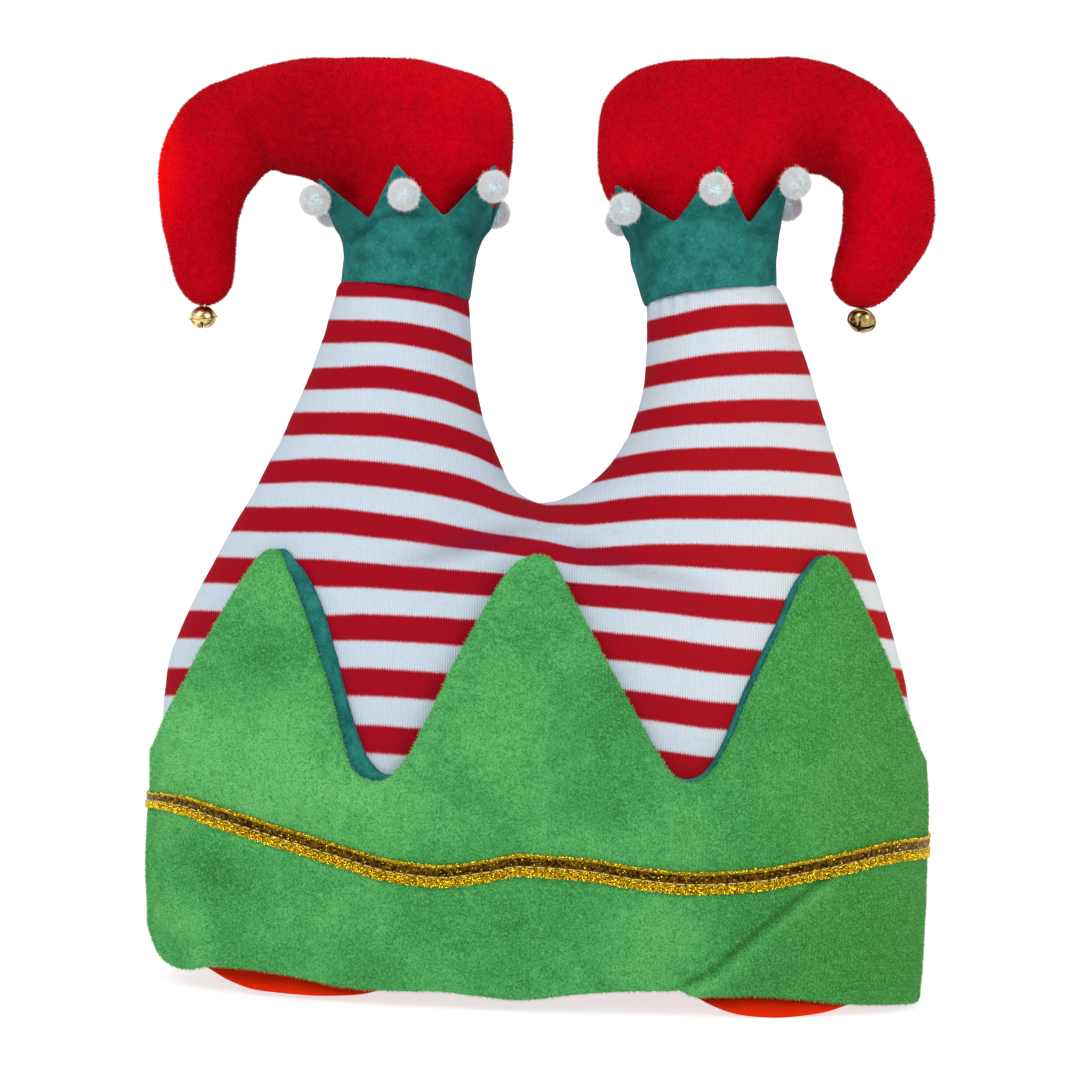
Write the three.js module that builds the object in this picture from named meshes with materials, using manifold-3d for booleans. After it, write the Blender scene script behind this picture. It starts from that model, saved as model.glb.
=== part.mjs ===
// An elf hat: a striped jersey crown that ends in two stuffed legs, a green
// plush cuff with felt behind it and gold braid round it, a red lining, and on
// each leg a felt collar with pompoms and a curled red boot with a bell.
//
// Millimetres, +Z up, the front of the hat towards -Y. The origin is on the
// floor, under the middle of the head opening. "Left" is the viewer's left.

import * as THREE from 'three';
import { LoftGeometry } from 'three/addons/geometries/LoftGeometry.js';
import { mergeGeometries, mergeVertices } from 'three/addons/utils/BufferGeometryUtils.js';
import Module from 'manifold-3d';

// Sizes

const crownHalfWidth = 143.4;      // padded crown at the head opening
const crownHalfDepth = 47.9;
const crownWall = 4;               // jersey over wadding
const forkHeight = 185;            // saddle between the legs
const forkWidth = 34;              // reach of the dip around the saddle
const ovalPower = 2.3;             // 2 is an ellipse, more is squarer

const gap = 0.3;                   // between pieces that touch
const facingGap = 0.5;             // crown to felt
const facingWall = 1.5;            // felt behind the plush
const plushGap = 0.8;              // felt to plush, which bows between its bends
const plushWall = 3;
const cuffHeight = 169;            // tallest peak
const braidWidth = 8;
const braidWall = 1.2;

const headTop = 152;               // top of the hollow for the head
const liningGap = 0.5;
const liningWall = 1.5;

const legHeight = 270;             // where the legs meet the boots
const legDepth = 40;
const ankleDepth = 22;
const collarGap = 0.5;             // leg to collar
const collarWall = 2;
const collarKnee = 20;             // collar height up to its folds
const collarRise = 46;             // and to its tallest tip
const collarReach = 36;            // how far its side tips spread

const bootReach = 95;              // ankle to toe
const bootRise = 82;               // ankle joint to sole
const bootHalfWidth = 23;
const bootStubFoot = 0.3;          // gap between leg and boot

const pompomRadius = 6.4;
const pompomTuck = 1;              // how far side pompoms sit towards the front or back
const bellRadius = 5;
const bellWall = 0.6;
const bellRidge = 0.7;
const bellSlot = 1.3;
const bellRing = 0.8;
const bellRingWire = 0.35;

// Tables
// Heights, widths and places are shares of the sizes above.

// The crown below the fork: height at the sides and in the middle, half widths
// to the left and right, half depth, and how much the middle is drawn in.
const crownRows = [
    { side: 0.065, middle: 0.065, left: 1, right: 1, depth: 1, pinch: 0 },
    { side: 0.51, middle: 0.51, left: 0.997, right: 0.996, depth: 1, pinch: 0 },
    { side: 0.63, middle: 0.63, left: 0.988, right: 0.973, depth: 0.99, pinch: 0 },
    { side: 0.74, middle: 0.735, left: 0.942, right: 0.933, depth: 0.97, pinch: 0.02 },
    { side: 0.84, middle: 0.82, left: 0.882, right: 0.888, depth: 0.93, pinch: 0.06 },
    { side: 0.92, middle: 0.88, left: 0.828, right: 0.851, depth: 0.88, pinch: 0.13 },
    { side: 0.995, middle: 0.92, left: 0.775, right: 0.812, depth: 0.82, pinch: 0.24 },
];

// The legs above the fork: height, edges from the hat's middle line as shares
// of crownHalfWidth, half depth, and how far the outer edge stands higher.
const legRows = {
    left: [
        { up: 0.707, outer: 0.746, inner: 0.082, depth: 0.86, lean: 0.008 },
        { up: 0.75, outer: 0.706, inner: 0.138, depth: 0.81, lean: 0.008 },
        { up: 0.80, outer: 0.67, inner: 0.177, depth: 0.74, lean: 0.006 },
        { up: 0.875, outer: 0.622, inner: 0.207, depth: 0.655, lean: 0.004 },
        { up: 0.936, outer: 0.59, inner: 0.217, depth: 0.6, lean: 0.006 },
        { up: 0.963, outer: 0.578, inner: 0.219, depth: 0.58, lean: 0.007 },
        { up: 0.969, outer: 0.55, inner: 0.238, depth: 0.51, lean: 0.007 },
        { up: 1.012, outer: 0.543, inner: 0.225, depth: 0.5, lean: 0 },
    ],
    right: [
        { up: 0.711, outer: 0.794, inner: 0.082, depth: 0.86, lean: 0.01 },
        { up: 0.75, outer: 0.762, inner: 0.175, depth: 0.82, lean: 0.01 },
        { up: 0.80, outer: 0.727, inner: 0.221, depth: 0.75, lean: 0.01 },
        { up: 0.875, outer: 0.679, inner: 0.247, depth: 0.665, lean: 0.012 },
        { up: 0.94, outer: 0.63, inner: 0.249, depth: 0.61, lean: 0.012 },
        { up: 0.973, outer: 0.602, inner: 0.244, depth: 0.58, lean: 0.013 },
        { up: 0.979, outer: 0.573, inner: 0.254, depth: 0.51, lean: 0.013 },
        { up: 1.025, outer: 0.57, inner: 0.215, depth: 0.5, lean: 0 },
    ],
};

// The hollow for the head: height, half width and half depth.
const hollowRows = [
    { up: 0, width: 1, depth: 1 },
    { up: 0.35, width: 1, depth: 1 },
    { up: 0.62, width: 0.985, depth: 0.985 },
    { up: 0.78, width: 0.93, depth: 0.94 },
    { up: 0.89, width: 0.82, depth: 0.83 },
    { up: 0.965, width: 0.64, depth: 0.62 },
    { up: 1, width: 0.4, depth: 0.34 },
];

// The cuff's three peaks, the same at the back. Places are shares of the half
// width, tops are shares of cuffHeight, show is how far the felt stands out
// above the plush on the way to the next row.
const peaks = [
    { place: -1, top: 0.55, show: 0.012 },
    { place: -0.79, top: 0.966, show: 0.012 },
    { place: -0.4, top: 0.48, show: 0.07 },
    { place: 0, top: 0.977, show: 0.02 },
    { place: 0.377, top: 0.506, show: 0.035 },
    { place: 0.817, top: 1, show: 0.03 },
    { place: 1, top: 0.57, show: 0.02 },
];
const peakRound = 0.05;            // flat share at each tip and valley

// The hem: lower edges of the plush, the lining and the braid's middle line,
// as shares of cuffHeight, along the front and then along the back.
const hemFront = [
    { place: -1, plush: 0.03, lining: 0.05, braid: 0.396 },
    { place: -0.87, plush: 0.05, lining: 0.055, braid: 0.411 },
    { place: -0.72, plush: 0.063, lining: 0.012, braid: 0.38 },
    { place: -0.58, plush: 0.054, lining: 0.01, braid: 0.342 },
    { place: -0.45, plush: 0.036, lining: 0.016, braid: 0.315 },
    { place: -0.23, plush: 0.04, lining: 0.06, braid: 0.285 },
    { place: -0.03, plush: 0.027, lining: 0.06, braid: 0.315 },
    { place: 0.11, plush: 0.045, lining: 0.07, braid: 0.315 },
    { place: 0.38, plush: 0.056, lining: 0.06, braid: 0.287 },
    { place: 0.56, plush: 0.032, lining: 0.004, braid: 0.298 },
    { place: 0.65, plush: 0.024, lining: 0, braid: 0.315 },
    { place: 0.77, plush: 0.016, lining: 0.01, braid: 0.335 },
    { place: 0.87, plush: 0.018, lining: 0.03, braid: 0.352 },
    { place: 1, plush: 0.008, lining: 0.02, braid: 0.355 },
];
const hemBack = [
    { place: -1, plush: 0.03, lining: 0.05, braid: 0.396 },
    { place: -0.8, plush: 0, lining: 0, braid: 0.37 },
    { place: 0, plush: 0, lining: 0, braid: 0.345 },
    { place: 0.8, plush: 0, lining: 0, braid: 0.36 },
    { place: 1, plush: 0.008, lining: 0.02, braid: 0.355 },
];

// The boots, from heel to toe: place along and above the ankle joint, half
// thickness as shares of bootRise, and half width as a share of bootHalfWidth.
const bootRows = {
    left: [
        { along: -0.396, up: 0.51, thick: 0.1, wide: 0.25 },
        { along: -0.37, up: 0.504, thick: 0.262, wide: 0.52 },
        { along: -0.275, up: 0.54, thick: 0.323, wide: 0.8 },
        { along: -0.127, up: 0.562, thick: 0.357, wide: 0.97 },
        { along: 0.073, up: 0.598, thick: 0.363, wide: 1 },
        { along: 0.262, up: 0.626, thick: 0.331, wide: 0.98 },
        { along: 0.441, up: 0.66, thick: 0.28, wide: 0.94 },
        { along: 0.63, up: 0.624, thick: 0.254, wide: 0.9 },
        { along: 0.769, up: 0.528, thick: 0.263, wide: 0.87 },
        { along: 0.844, up: 0.341, thick: 0.234, wide: 0.82 },
        { along: 0.849, up: 0.156, thick: 0.194, wide: 0.72 },
        { along: 0.83, up: -0.002, thick: 0.16, wide: 0.62 },
        { along: 0.819, up: -0.127, thick: 0.139, wide: 0.52 },
        { along: 0.818, up: -0.203, thick: 0.094, wide: 0.36 },
        { along: 0.819, up: -0.238, thick: 0.043, wide: 0.16 },
    ],
    right: [
        { along: -0.442, up: 0.503, thick: 0.1, wide: 0.25 },
        { along: -0.414, up: 0.479, thick: 0.24, wide: 0.52 },
        { along: -0.34, up: 0.52, thick: 0.33, wide: 0.8 },
        { along: -0.193, up: 0.547, thick: 0.382, wide: 0.97 },
        { along: 0.007, up: 0.592, thick: 0.374, wide: 1 },
        { along: 0.197, up: 0.65, thick: 0.329, wide: 0.98 },
        { along: 0.355, up: 0.705, thick: 0.274, wide: 0.94 },
        { along: 0.552, up: 0.655, thick: 0.243, wide: 0.9 },
        { along: 0.657, up: 0.557, thick: 0.235, wide: 0.88 },
        { along: 0.714, up: 0.418, thick: 0.233, wide: 0.86 },
        { along: 0.735, up: 0.247, thick: 0.221, wide: 0.83 },
        { along: 0.716, up: 0.119, thick: 0.221, wide: 0.78 },
        { along: 0.675, up: -0.009, thick: 0.205, wide: 0.7 },
        { along: 0.638, up: -0.121, thick: 0.141, wide: 0.48 },
        { along: 0.644, up: -0.163, thick: 0.05, wide: 0.18 },
    ],
};

// The collars: six tips and six folds round the ankle. turn is in degrees from
// the right, across and deep are shares of collarReach, and up is a share of
// collarRise above the collar's lower edge.
const collarRows = {
    left: [
        { turn: -90, across: -0.13, deep: -0.77, up: 0.98 },
        { turn: -62, across: 0.36, deep: -0.655, up: 0.57 },
        { turn: -28, across: 0.93, deep: -0.6, up: 1 },
        { turn: 0, across: 0.87, deep: 0, up: 0.54 },
        { turn: 28, across: 0.93, deep: 0.6, up: 0.95 },
        { turn: 62, across: 0.36, deep: 0.655, up: 0.57 },
        { turn: 90, across: -0.05, deep: 0.77, up: 0.96 },
        { turn: 118, across: -0.38, deep: 0.655, up: 0.53 },
        { turn: 150, across: -0.94, deep: 0.46, up: 0.85 },
        { turn: 180, across: -0.76, deep: 0, up: 0.5 },
        { turn: 210, across: -0.94, deep: -0.46, up: 0.88 },
        { turn: 242, across: -0.38, deep: -0.655, up: 0.53 },
    ],
    right: [
        { turn: -90, across: 0.08, deep: -0.77, up: 1 },
        { turn: -62, across: 0.4, deep: -0.655, up: 0.54 },
        { turn: -28, across: 0.86, deep: -0.5, up: 0.98 },
        { turn: 0, across: 0.79, deep: 0, up: 0.6 },
        { turn: 28, across: 0.86, deep: 0.5, up: 0.94 },
        { turn: 62, across: 0.4, deep: 0.655, up: 0.54 },
        { turn: 90, across: 0.05, deep: 0.77, up: 0.98 },
        { turn: 118, across: -0.34, deep: 0.655, up: 0.53 },
        { turn: 150, across: -0.96, deep: 0.56, up: 0.8 },
        { turn: 180, across: -0.76, deep: 0, up: 0.42 },
        { turn: 210, across: -0.96, deep: -0.56, up: 0.84 },
        { turn: 242, across: -0.34, deep: -0.655, up: 0.53 },
    ],
};

// Helpers

const wasm = await Module();
wasm.setup();

// A bare geometry of shared corners with no flat triangles, as booleans and
// closed solids need it.
function bare(geometry) {
    const plain = new THREE.BufferGeometry();
    plain.setAttribute('position', geometry.attributes.position);
    plain.setIndex(geometry.index);
    const merged = mergeVertices(plain, 1e-4);
    const corners = merged.index.array;
    const kept = [];
    for (let i = 0; i < corners.length; i += 3) {
        const [a, b, c] = [corners[i], corners[i + 1], corners[i + 2]];
        if (a !== b && b !== c && c !== a) kept.push(a, b, c);
    }
    merged.setIndex(kept);
    return merged;
}

function toSolid(geometry) {
    const clean = bare(geometry);
    return new wasm.Manifold(new wasm.Mesh({
        numProp: 3,
        vertProperties: new Float32Array(clean.attributes.position.array),
        triVerts: new Uint32Array(clean.index.array),
    }));
}

function fromSolid(solid) {
    const mesh = solid.getMesh();
    const geometry = new THREE.BufferGeometry();
    geometry.setAttribute('position', new THREE.BufferAttribute(mesh.vertProperties, 3));
    geometry.setIndex(new THREE.BufferAttribute(mesh.triVerts, 1));
    geometry.computeVertexNormals();
    return geometry;
}

const mix = (a, b, share) => a + (b - a) * share;

// A ring that goes round the hat, cut into its front and back panels, which
// meet at the side seams.
function panels(ring) {
    const solid = toSolid(ring);
    return {
        front: fromSolid(solid.trimByPlane([0, -1, 0], gap / 2)),
        back: fromSolid(solid.trimByPlane([0, 1, 0], gap / 2)),
    };
}

// The value of one column of a table at a place along another, in straight lines.
function lookUp(table, key, at, column) {
    if (at <= table[0][key]) return table[0][column];
    for (let i = 1; i < table.length; i++) {
        if (at <= table[i][key]) {
            const before = table[i - 1];
            const share = (at - before[key]) / (table[i][key] - before[key]);
            return mix(before[column], table[i][column], share);
        }
    }
    return table[table.length - 1][column];
}

// A closed ring from upright slices, counterclockwise from above. Each slice
// is a loop of points, down its inside and up its outside.
function ringOf(slices) {
    const loops = slices.map((points) => [...points].reverse());
    return bare(new LoftGeometry([...loops, loops[0]]));
}

// Columns round the hat
// All layers of the crown share one set of columns, so that they nest. Each
// column has a place from -1 to 1 across, and a share of the depth.

function columnAt(place, isBack) {
    const across = Math.abs(place);
    const deep = Math.pow(Math.max(0, 1 - Math.pow(across, ovalPower)), 1 / ovalPower);
    return { place, deep: isBack ? deep : -deep, isBack };
}

function frontColumns() {
    const columns = [];
    for (let i = 0; i < peaks.length - 1; i++) {
        const from = peaks[i].place;
        const to = peaks[i + 1].place;
        const isSide = Math.abs(from) === 1 || Math.abs(to) === 1;
        const steps = isSide ? [0, 0.17, 0.35, 0.55, 0.75, 0.94] : [0, 0.05, 0.25, 0.5, 0.75, 0.95];
        for (const step of steps) {
            let place = mix(from, to, step);
            if (isSide) {
                // even steps of angle, because the oval turns sharply here
                const angleOf = (p) => Math.sign(p) * Math.acos(Math.pow(Math.abs(p), ovalPower / 2));
                const inner = Math.abs(from) === 1 ? angleOf(to) : angleOf(from);
                const share = Math.abs(from) === 1 ? step : 1 - step;
                place = Math.sign(inner) * Math.pow(Math.cos(inner * share), 2 / ovalPower);
            }
            columns.push(columnAt(place, false));
        }
    }
    return columns;
}

// Counterclockwise from above: left side, front, right side, back.
const front = frontColumns();
const columns = [
    ...front,
    columnAt(1, false),
    ...front.slice(1).reverse().map((column) => columnAt(column.place, true)),
];
const frontMiddle = columns.findIndex((column) => column.place === 0 && !column.isBack);
const hollowColumns = columns.filter((_, i) => i % 2 === 0);

// The crown's outer surface: a point at a column and a height, moved outwards.
function crownPoint(column, height, outwards = 0) {
    const share = height / forkHeight;
    const reach = crownHalfWidth * lookUp(crownRows, 'side', share, column.place < 0 ? 'left' : 'right') + outwards;
    const deep = crownHalfDepth * lookUp(crownRows, 'side', share, 'depth') + outwards;
    return new THREE.Vector3(column.place * reach, column.deep * deep, height);
}

// Crown

function crownRow(row) {
    return columns.map((column) => {
        const reach = crownHalfWidth * (column.place < 0 ? row.left : row.right);
        const x = column.place * reach;
        const near = Math.exp(-((x / forkWidth) ** 2));
        const y = column.deep * crownHalfDepth * row.depth * (1 - row.pinch * near);
        return new THREE.Vector3(x, y, forkHeight * mix(row.side, row.middle, near));
    });
}

const bridgeSteps = 6;
const legTurn = 280;               // degrees of a leg that come from the crown's outline

// One leg's loft. Its first section is half of the crown's top row, closed by
// the saddle line; the rest are ovals.
function legLoft(topRow, side) {
    const count = topRow.length;
    const half = count / 2;
    const start = side === 'right' ? frontMiddle : frontMiddle + half;
    const outline = [];
    for (let i = 0; i <= half; i++) outline.push(topRow[(start + i) % count]);
    const first = outline[0];
    const last = outline[half];
    const bridge = [];
    for (let i = 1; i < bridgeSteps; i++) {
        const angle = Math.PI * i / bridgeSteps;
        const share = (1 - Math.cos(angle)) / 2;
        bridge.push(new THREE.Vector3(
            0,
            mix(last.y, first.y, share),
            mix(last.z, forkHeight, Math.sin(angle)),
        ));
    }
    const sections = [[...outline, ...bridge]];
    const sign = side === 'right' ? 1 : -1;
    for (const row of legRows[side]) {
        const centre = sign * crownHalfWidth * (row.outer + row.inner) / 2;
        const halfWidth = crownHalfWidth * (row.outer - row.inner) / 2;
        const points = [];
        for (let i = 0; i < half + bridgeSteps; i++) {
            const turn = i <= half
                ? -legTurn / 2 + legTurn * i / half
                : legTurn / 2 + (360 - legTurn) * (i - half) / bridgeSteps;
            const angle = THREE.MathUtils.degToRad(turn + (side === 'right' ? 0 : 180));
            points.push(new THREE.Vector3(
                centre + halfWidth * Math.cos(angle),
                legDepth * row.depth * Math.sin(angle),
                legHeight * (row.up + row.lean * sign * Math.cos(angle)),
            ));
        }
        sections.push(points);
    }
    return new LoftGeometry(sections, { capEnd: true });
}

// The hollow that the head goes into, made smaller by an offset.
function hollowLoft(offset, foot) {
    const top = headTop - offset;
    const sections = hollowRows.map((row) => hollowColumns.map((column) => new THREE.Vector3(
        column.place * (crownHalfWidth - crownWall - offset) * row.width,
        column.deep * (crownHalfDepth - crownWall - offset) * row.depth,
        row.up === 0 ? foot(column) : top * row.up,
    )));
    return new LoftGeometry(sections, { capStart: true, capEnd: true });
}

function makeCrown() {
    const rows = crownRows.map(crownRow);
    const topRow = rows[rows.length - 1];
    const body = new LoftGeometry(rows, { capStart: true });
    const shell = mergeGeometries([body, legLoft(topRow, 'left'), legLoft(topRow, 'right')]
        .map((geometry) => bare(geometry)));
    const below = -crownWall;
    return fromSolid(toSolid(shell).subtract(toSolid(hollowLoft(0, () => below))));
}

// Lining

const hemOf = (column, what) =>
    cuffHeight * lookUp(column.isBack ? hemBack : hemFront, 'place', column.place, what);

function makeLining() {
    // The inner skin of the cap from its top down, then the outer skin up.
    const skin = (offset) => {
        const top = headTop - offset;
        const rows = hollowRows.map((row) => hollowColumns.map((column) => new THREE.Vector3(
            column.place * (crownHalfWidth - crownWall - offset) * row.width,
            column.deep * (crownHalfDepth - crownWall - offset) * row.depth,
            row.up === 0 ? hemOf(column, 'lining') : top * row.up,
        )));
        rows.push(hollowColumns.map(() => new THREE.Vector3(0, 0, top)));
        return rows;
    };
    const inner = skin(liningGap + liningWall).reverse();
    const outer = skin(liningGap);
    return bare(new LoftGeometry([...inner, ...outer]));
}

// Cuff, felt facing and braid

// Height of the peaks' edge at a column, and how far the felt shows above it.
function peakEdge(column) {
    let i = 1;
    while (i < peaks.length - 1 && column.place > peaks[i].place) i++;
    const from = peaks[i - 1];
    const to = peaks[i];
    const share = (column.place - from.place) / (to.place - from.place);
    const drop = THREE.MathUtils.clamp((share - peakRound) / (1 - 2 * peakRound), 0, 1);
    const show = from.show * Math.sin(Math.PI * mix(0.12, 0.88, share));
    return { top: cuffHeight * mix(from.top, to.top, drop), show: cuffHeight * show };
}

const facingInner = facingGap;
const facingOuter = facingInner + facingWall;
const plushInner = facingOuter + plushGap;
const plushOuter = plushInner + plushWall;
const facingFoot = 16;             // the felt starts above the hem
const plushRoll = 5;               // height of the rounded edges

// The heights where the crown's outline bends, kept between two limits, so that
// a layer bends with it.
const bends = crownRows.slice(1, 6).map((row) => forkHeight * row.side);
const bendsBetween = (low, high) => bends.map((height) =>
    ({ height: THREE.MathUtils.clamp(height, low, high), pull: 0 }));

// One slice of a layer: down the inside, up the outside.
function slice(column, inner, outer, stations) {
    const down = stations.map(({ height }) => crownPoint(column, height, inner)).reverse();
    const up = stations.map(({ height, pull }) => crownPoint(column, height, mix(outer, inner, pull)));
    return [...down, ...up];
}

function makeCuff() {
    return ringOf(columns.map((column) => {
        const low = hemOf(column, 'plush');
        const { top } = peakEdge(column);
        return slice(column, plushInner, plushOuter, [
            { height: low, pull: 0.45 },
            { height: low + plushRoll, pull: 0 },
            ...bendsBetween(low + plushRoll, top - plushRoll),
            { height: top - plushRoll, pull: 0 },
            { height: top, pull: 0.6 },
        ]);
    }));
}

function makeFacing() {
    return ringOf(columns.map((column) => {
        const { top, show } = peakEdge(column);
        return slice(column, facingInner, facingOuter, [
            { height: facingFoot, pull: 0 },
            ...bendsBetween(facingFoot, top + show),
            { height: top + show, pull: 0 },
        ]);
    }));
}

function makeBraid() {
    const inner = plushOuter + gap;
    return ringOf(columns.map((column) => {
        const middle = hemOf(column, 'braid');
        return slice(column, inner, inner + braidWall, [
            { height: middle - braidWidth / 2, pull: 0 },
            { height: middle + braidWidth / 2, pull: 0 },
        ]);
    }));
}

// Ankles and collars

// Where the leg meets its boot: centre, half width and half depth of the oval.
function ankle(side) {
    const rows = legRows[side];
    const end = rows[rows.length - 1];
    const sign = side === 'right' ? 1 : -1;
    return {
        sign,
        x: sign * crownHalfWidth * (end.outer + end.inner) / 2,
        z: legHeight * end.up,
        halfWidth: crownHalfWidth * (end.outer - end.inner) / 2,
    };
}

const collarSteps = 3;             // columns from one tip or fold to the next

function collarColumns(side) {
    const joint = ankle(side);
    const rows = collarRows[side];
    const neck = legRows[side][legRows[side].length - 2];
    const neckX = joint.sign * crownHalfWidth * (neck.outer + neck.inner) / 2;
    const neckHalf = crownHalfWidth * (neck.outer - neck.inner) / 2;
    const foot = legHeight * neck.up;
    const list = [];
    rows.forEach((row, i) => {
        const next = rows[(i + 1) % rows.length];
        const nextTurn = next.turn < row.turn ? next.turn + 360 : next.turn;
        for (let step = 0; step < collarSteps; step++) {
            const share = step / collarSteps;
            const angle = THREE.MathUtils.degToRad(mix(row.turn, nextTurn, share));
            const out = new THREE.Vector3(Math.cos(angle) * ankleDepth, Math.sin(angle) * joint.halfWidth, 0).normalize();
            const oval = (x, half, z, spread) => new THREE.Vector3(
                x + (half + spread) * Math.cos(angle),
                (ankleDepth + spread) * Math.sin(angle),
                z,
            );
            const low = foot + legHeight * neck.lean * joint.sign * Math.cos(angle);
            list.push({
                isTip: step === 0 && i % 2 === 0,
                out,
                low: oval(neckX, neckHalf, low + gap, collarGap),
                end: oval(joint.x, joint.halfWidth, joint.z, collarGap),
                knee: oval(joint.x, joint.halfWidth, foot + collarKnee, collarGap),
                top: new THREE.Vector3(
                    joint.x + collarReach * mix(row.across, next.across, share),
                    collarReach * mix(row.deep, next.deep, share),
                    foot + collarRise * mix(row.up, next.up, share),
                ),
            });
        }
    });
    return list;
}

function makeCollar(side) {
    return ringOf(collarColumns(side).map(({ out, low, end, knee, top }) => {
        const inside = [top, knee, end, low];
        const outside = inside.map((point) => point.clone().addScaledVector(out, collarWall)).reverse();
        return [...inside, ...outside];
    }));
}

// A pompom sits on the outside of each collar tip. Its tufts are small dents
// and bumps in turn.
const tuft = 0.05;
const pompomColumns = 9;
const pompomRows = 6;
const pompomPlace = 0.7;           // share of the way from the fold to the tip

function makePompom() {
    const geometry = new THREE.SphereGeometry(pompomRadius, pompomColumns, pompomRows);
    const shape = bare(geometry);
    const position = shape.attributes.position;
    const point = new THREE.Vector3();
    for (let i = 0; i < position.count; i++) {
        point.fromBufferAttribute(position, i);
        const size = 1 - tuft * (i % 2) - tuft * ((i * 7) % 5) / 5;
        position.setXYZ(i, point.x * size, point.y * size, point.z * size);
    }
    shape.computeVertexNormals();
    return shape;
}

function pompomPlaces(side) {
    return collarColumns(side).filter((column) => column.isTip).map(({ out, knee, top }) => {
        const up = top.clone().sub(knee).normalize();
        const away = out.clone().addScaledVector(up, -out.dot(up)).normalize();
        return knee.clone().lerp(top, pompomPlace)
            .addScaledVector(out, collarWall)
            .addScaledVector(away, pompomRadius + gap)
            .add(new THREE.Vector3(-pompomTuck * out.x, Math.sign(out.y) * pompomTuck * Math.abs(out.x), 0));
    });
}

// Boots

const acrossHat = new THREE.Vector3(0, 1, 0);
const sectionPoints = 18;

function bootCentre(side, row) {
    const joint = ankle(side);
    return new THREE.Vector3(joint.x + joint.sign * bootReach * row.along, 0, joint.z + bootRise * row.up);
}

function makeBoot(side) {
    const joint = ankle(side);
    const rows = bootRows[side];
    const centres = rows.map((row) => bootCentre(side, row));
    const sections = rows.map((row, i) => {
        const before = centres[Math.max(0, i - 1)];
        const after = centres[Math.min(rows.length - 1, i + 1)];
        const along = after.clone().sub(before).normalize();
        const up = new THREE.Vector3().crossVectors(acrossHat, along);
        return Array.from({ length: sectionPoints }, (_, j) => {
            const angle = 2 * Math.PI * j / sectionPoints;
            return centres[i].clone()
                .addScaledVector(up, bootRise * row.thick * Math.cos(angle))
                .addScaledVector(acrossHat, bootHalfWidth * row.wide * Math.sin(angle));
        });
    });
    const foot = new LoftGeometry(sections, { capStart: true, capEnd: true });
    const stubRows = [0, 0.2, 0.5];
    const stub = new LoftGeometry(stubRows.map((up, row) => Array.from({ length: sectionPoints }, (_, j) => {
        const angle = 2 * Math.PI * j / sectionPoints;
        const shrink = row === stubRows.length - 1 ? 0.75 : 0.97;
        return new THREE.Vector3(
            joint.x + joint.halfWidth * shrink * Math.cos(angle),
            (ankleDepth - gap) * shrink * Math.sin(angle),
            joint.z + bootStubFoot + bootRise * up,
        );
    })), { capStart: true, capEnd: true });
    return fromSolid(toSolid(foot).add(toSolid(stub)));
}

// Bells

// A round shell of two halves with a ridge where they meet, a cross of slots
// below and a ring above. Its origin is the middle of the ridge.
const bellSquash = 0.84;           // height as a share of the width
const bellSteps = 6;

function bellProfile(radius) {
    const points = [];
    for (let i = 0; i <= bellSteps; i++) {
        const angle = -Math.PI / 2 + Math.PI * i / bellSteps;
        const r = i === 0 || i === bellSteps ? 0 : radius * Math.cos(angle);
        points.push(new THREE.Vector2(r, radius * bellSquash * Math.sin(angle)));
    }
    return points;
}

function makeBell() {
    const sides = 12;
    const turnUp = new THREE.Matrix4().makeRotationX(Math.PI / 2);
    const shellOf = (points) => toSolid(new THREE.LatheGeometry(points, sides).applyMatrix4(turnUp));
    const ridge = [
        new THREE.Vector2(0, -bellRidge / 2),
        new THREE.Vector2(bellRadius + bellRidge, -bellRidge / 2),
        new THREE.Vector2(bellRadius + bellRidge, bellRidge / 2),
        new THREE.Vector2(0, bellRidge / 2),
    ];
    const length = 3 * bellRadius;
    const slotDepth = bellRadius * bellSquash;
    const slot = (x, y) => toSolid(new THREE.BoxGeometry(x, y, slotDepth)
        .translate(0, 0, -bellRidge - slotDepth / 2));
    const ring = new THREE.TorusGeometry(bellRing, bellRingWire, 5, 8)
        .applyMatrix4(turnUp)
        .translate(0, 0, bellRadius * bellSquash + bellRing - bellRingWire);
    const shell = shellOf(bellProfile(bellRadius))
        .add(shellOf(ridge))
        .subtract(shellOf(bellProfile(bellRadius - bellWall)))
        .subtract(slot(length, bellSlot))
        .subtract(slot(bellSlot, length));
    return fromSolid(shell.add(toSolid(ring)));
}

// How far the bell's middle hangs below the toe's end.
const bellDrop = bellRadius * bellSquash + 2 * bellRing;

// Model

const colours = {
    jersey: 0xc01a28,
    lining: 0xc8230c,
    plush: 0x3f9a45,
    felt: 0x1f6e5f,
    gold: 0xc8931e,
    velour: 0xb80416,
    pompom: 0xf2f2f2,
};

const cloth = (color, roughness = 0.95) => new THREE.MeshStandardMaterial({ color, roughness, metalness: 0 });
const metal = (color, roughness) => new THREE.MeshStandardMaterial({ color, roughness, metalness: 1 });

const hat = new THREE.Group();
hat.name = 'elf_hat';

function addPiece(name, geometry, material, place) {
    const mesh = new THREE.Mesh(geometry, material);
    mesh.name = name;
    if (place) mesh.position.copy(place);
    hat.add(mesh);
    return mesh;
}

addPiece('crown', makeCrown(), cloth(colours.jersey));
const lining = panels(makeLining());
const cuff = panels(makeCuff());
for (const face of ['front', 'back']) {
    addPiece(`lining_${face}`, lining[face], cloth(colours.lining));
    addPiece(`cuff_${face}`, cuff[face], cloth(colours.plush));
}
addPiece('cuff_facing', makeFacing(), cloth(colours.felt));
addPiece('braid', makeBraid(), metal(colours.gold, 0.35));

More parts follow.
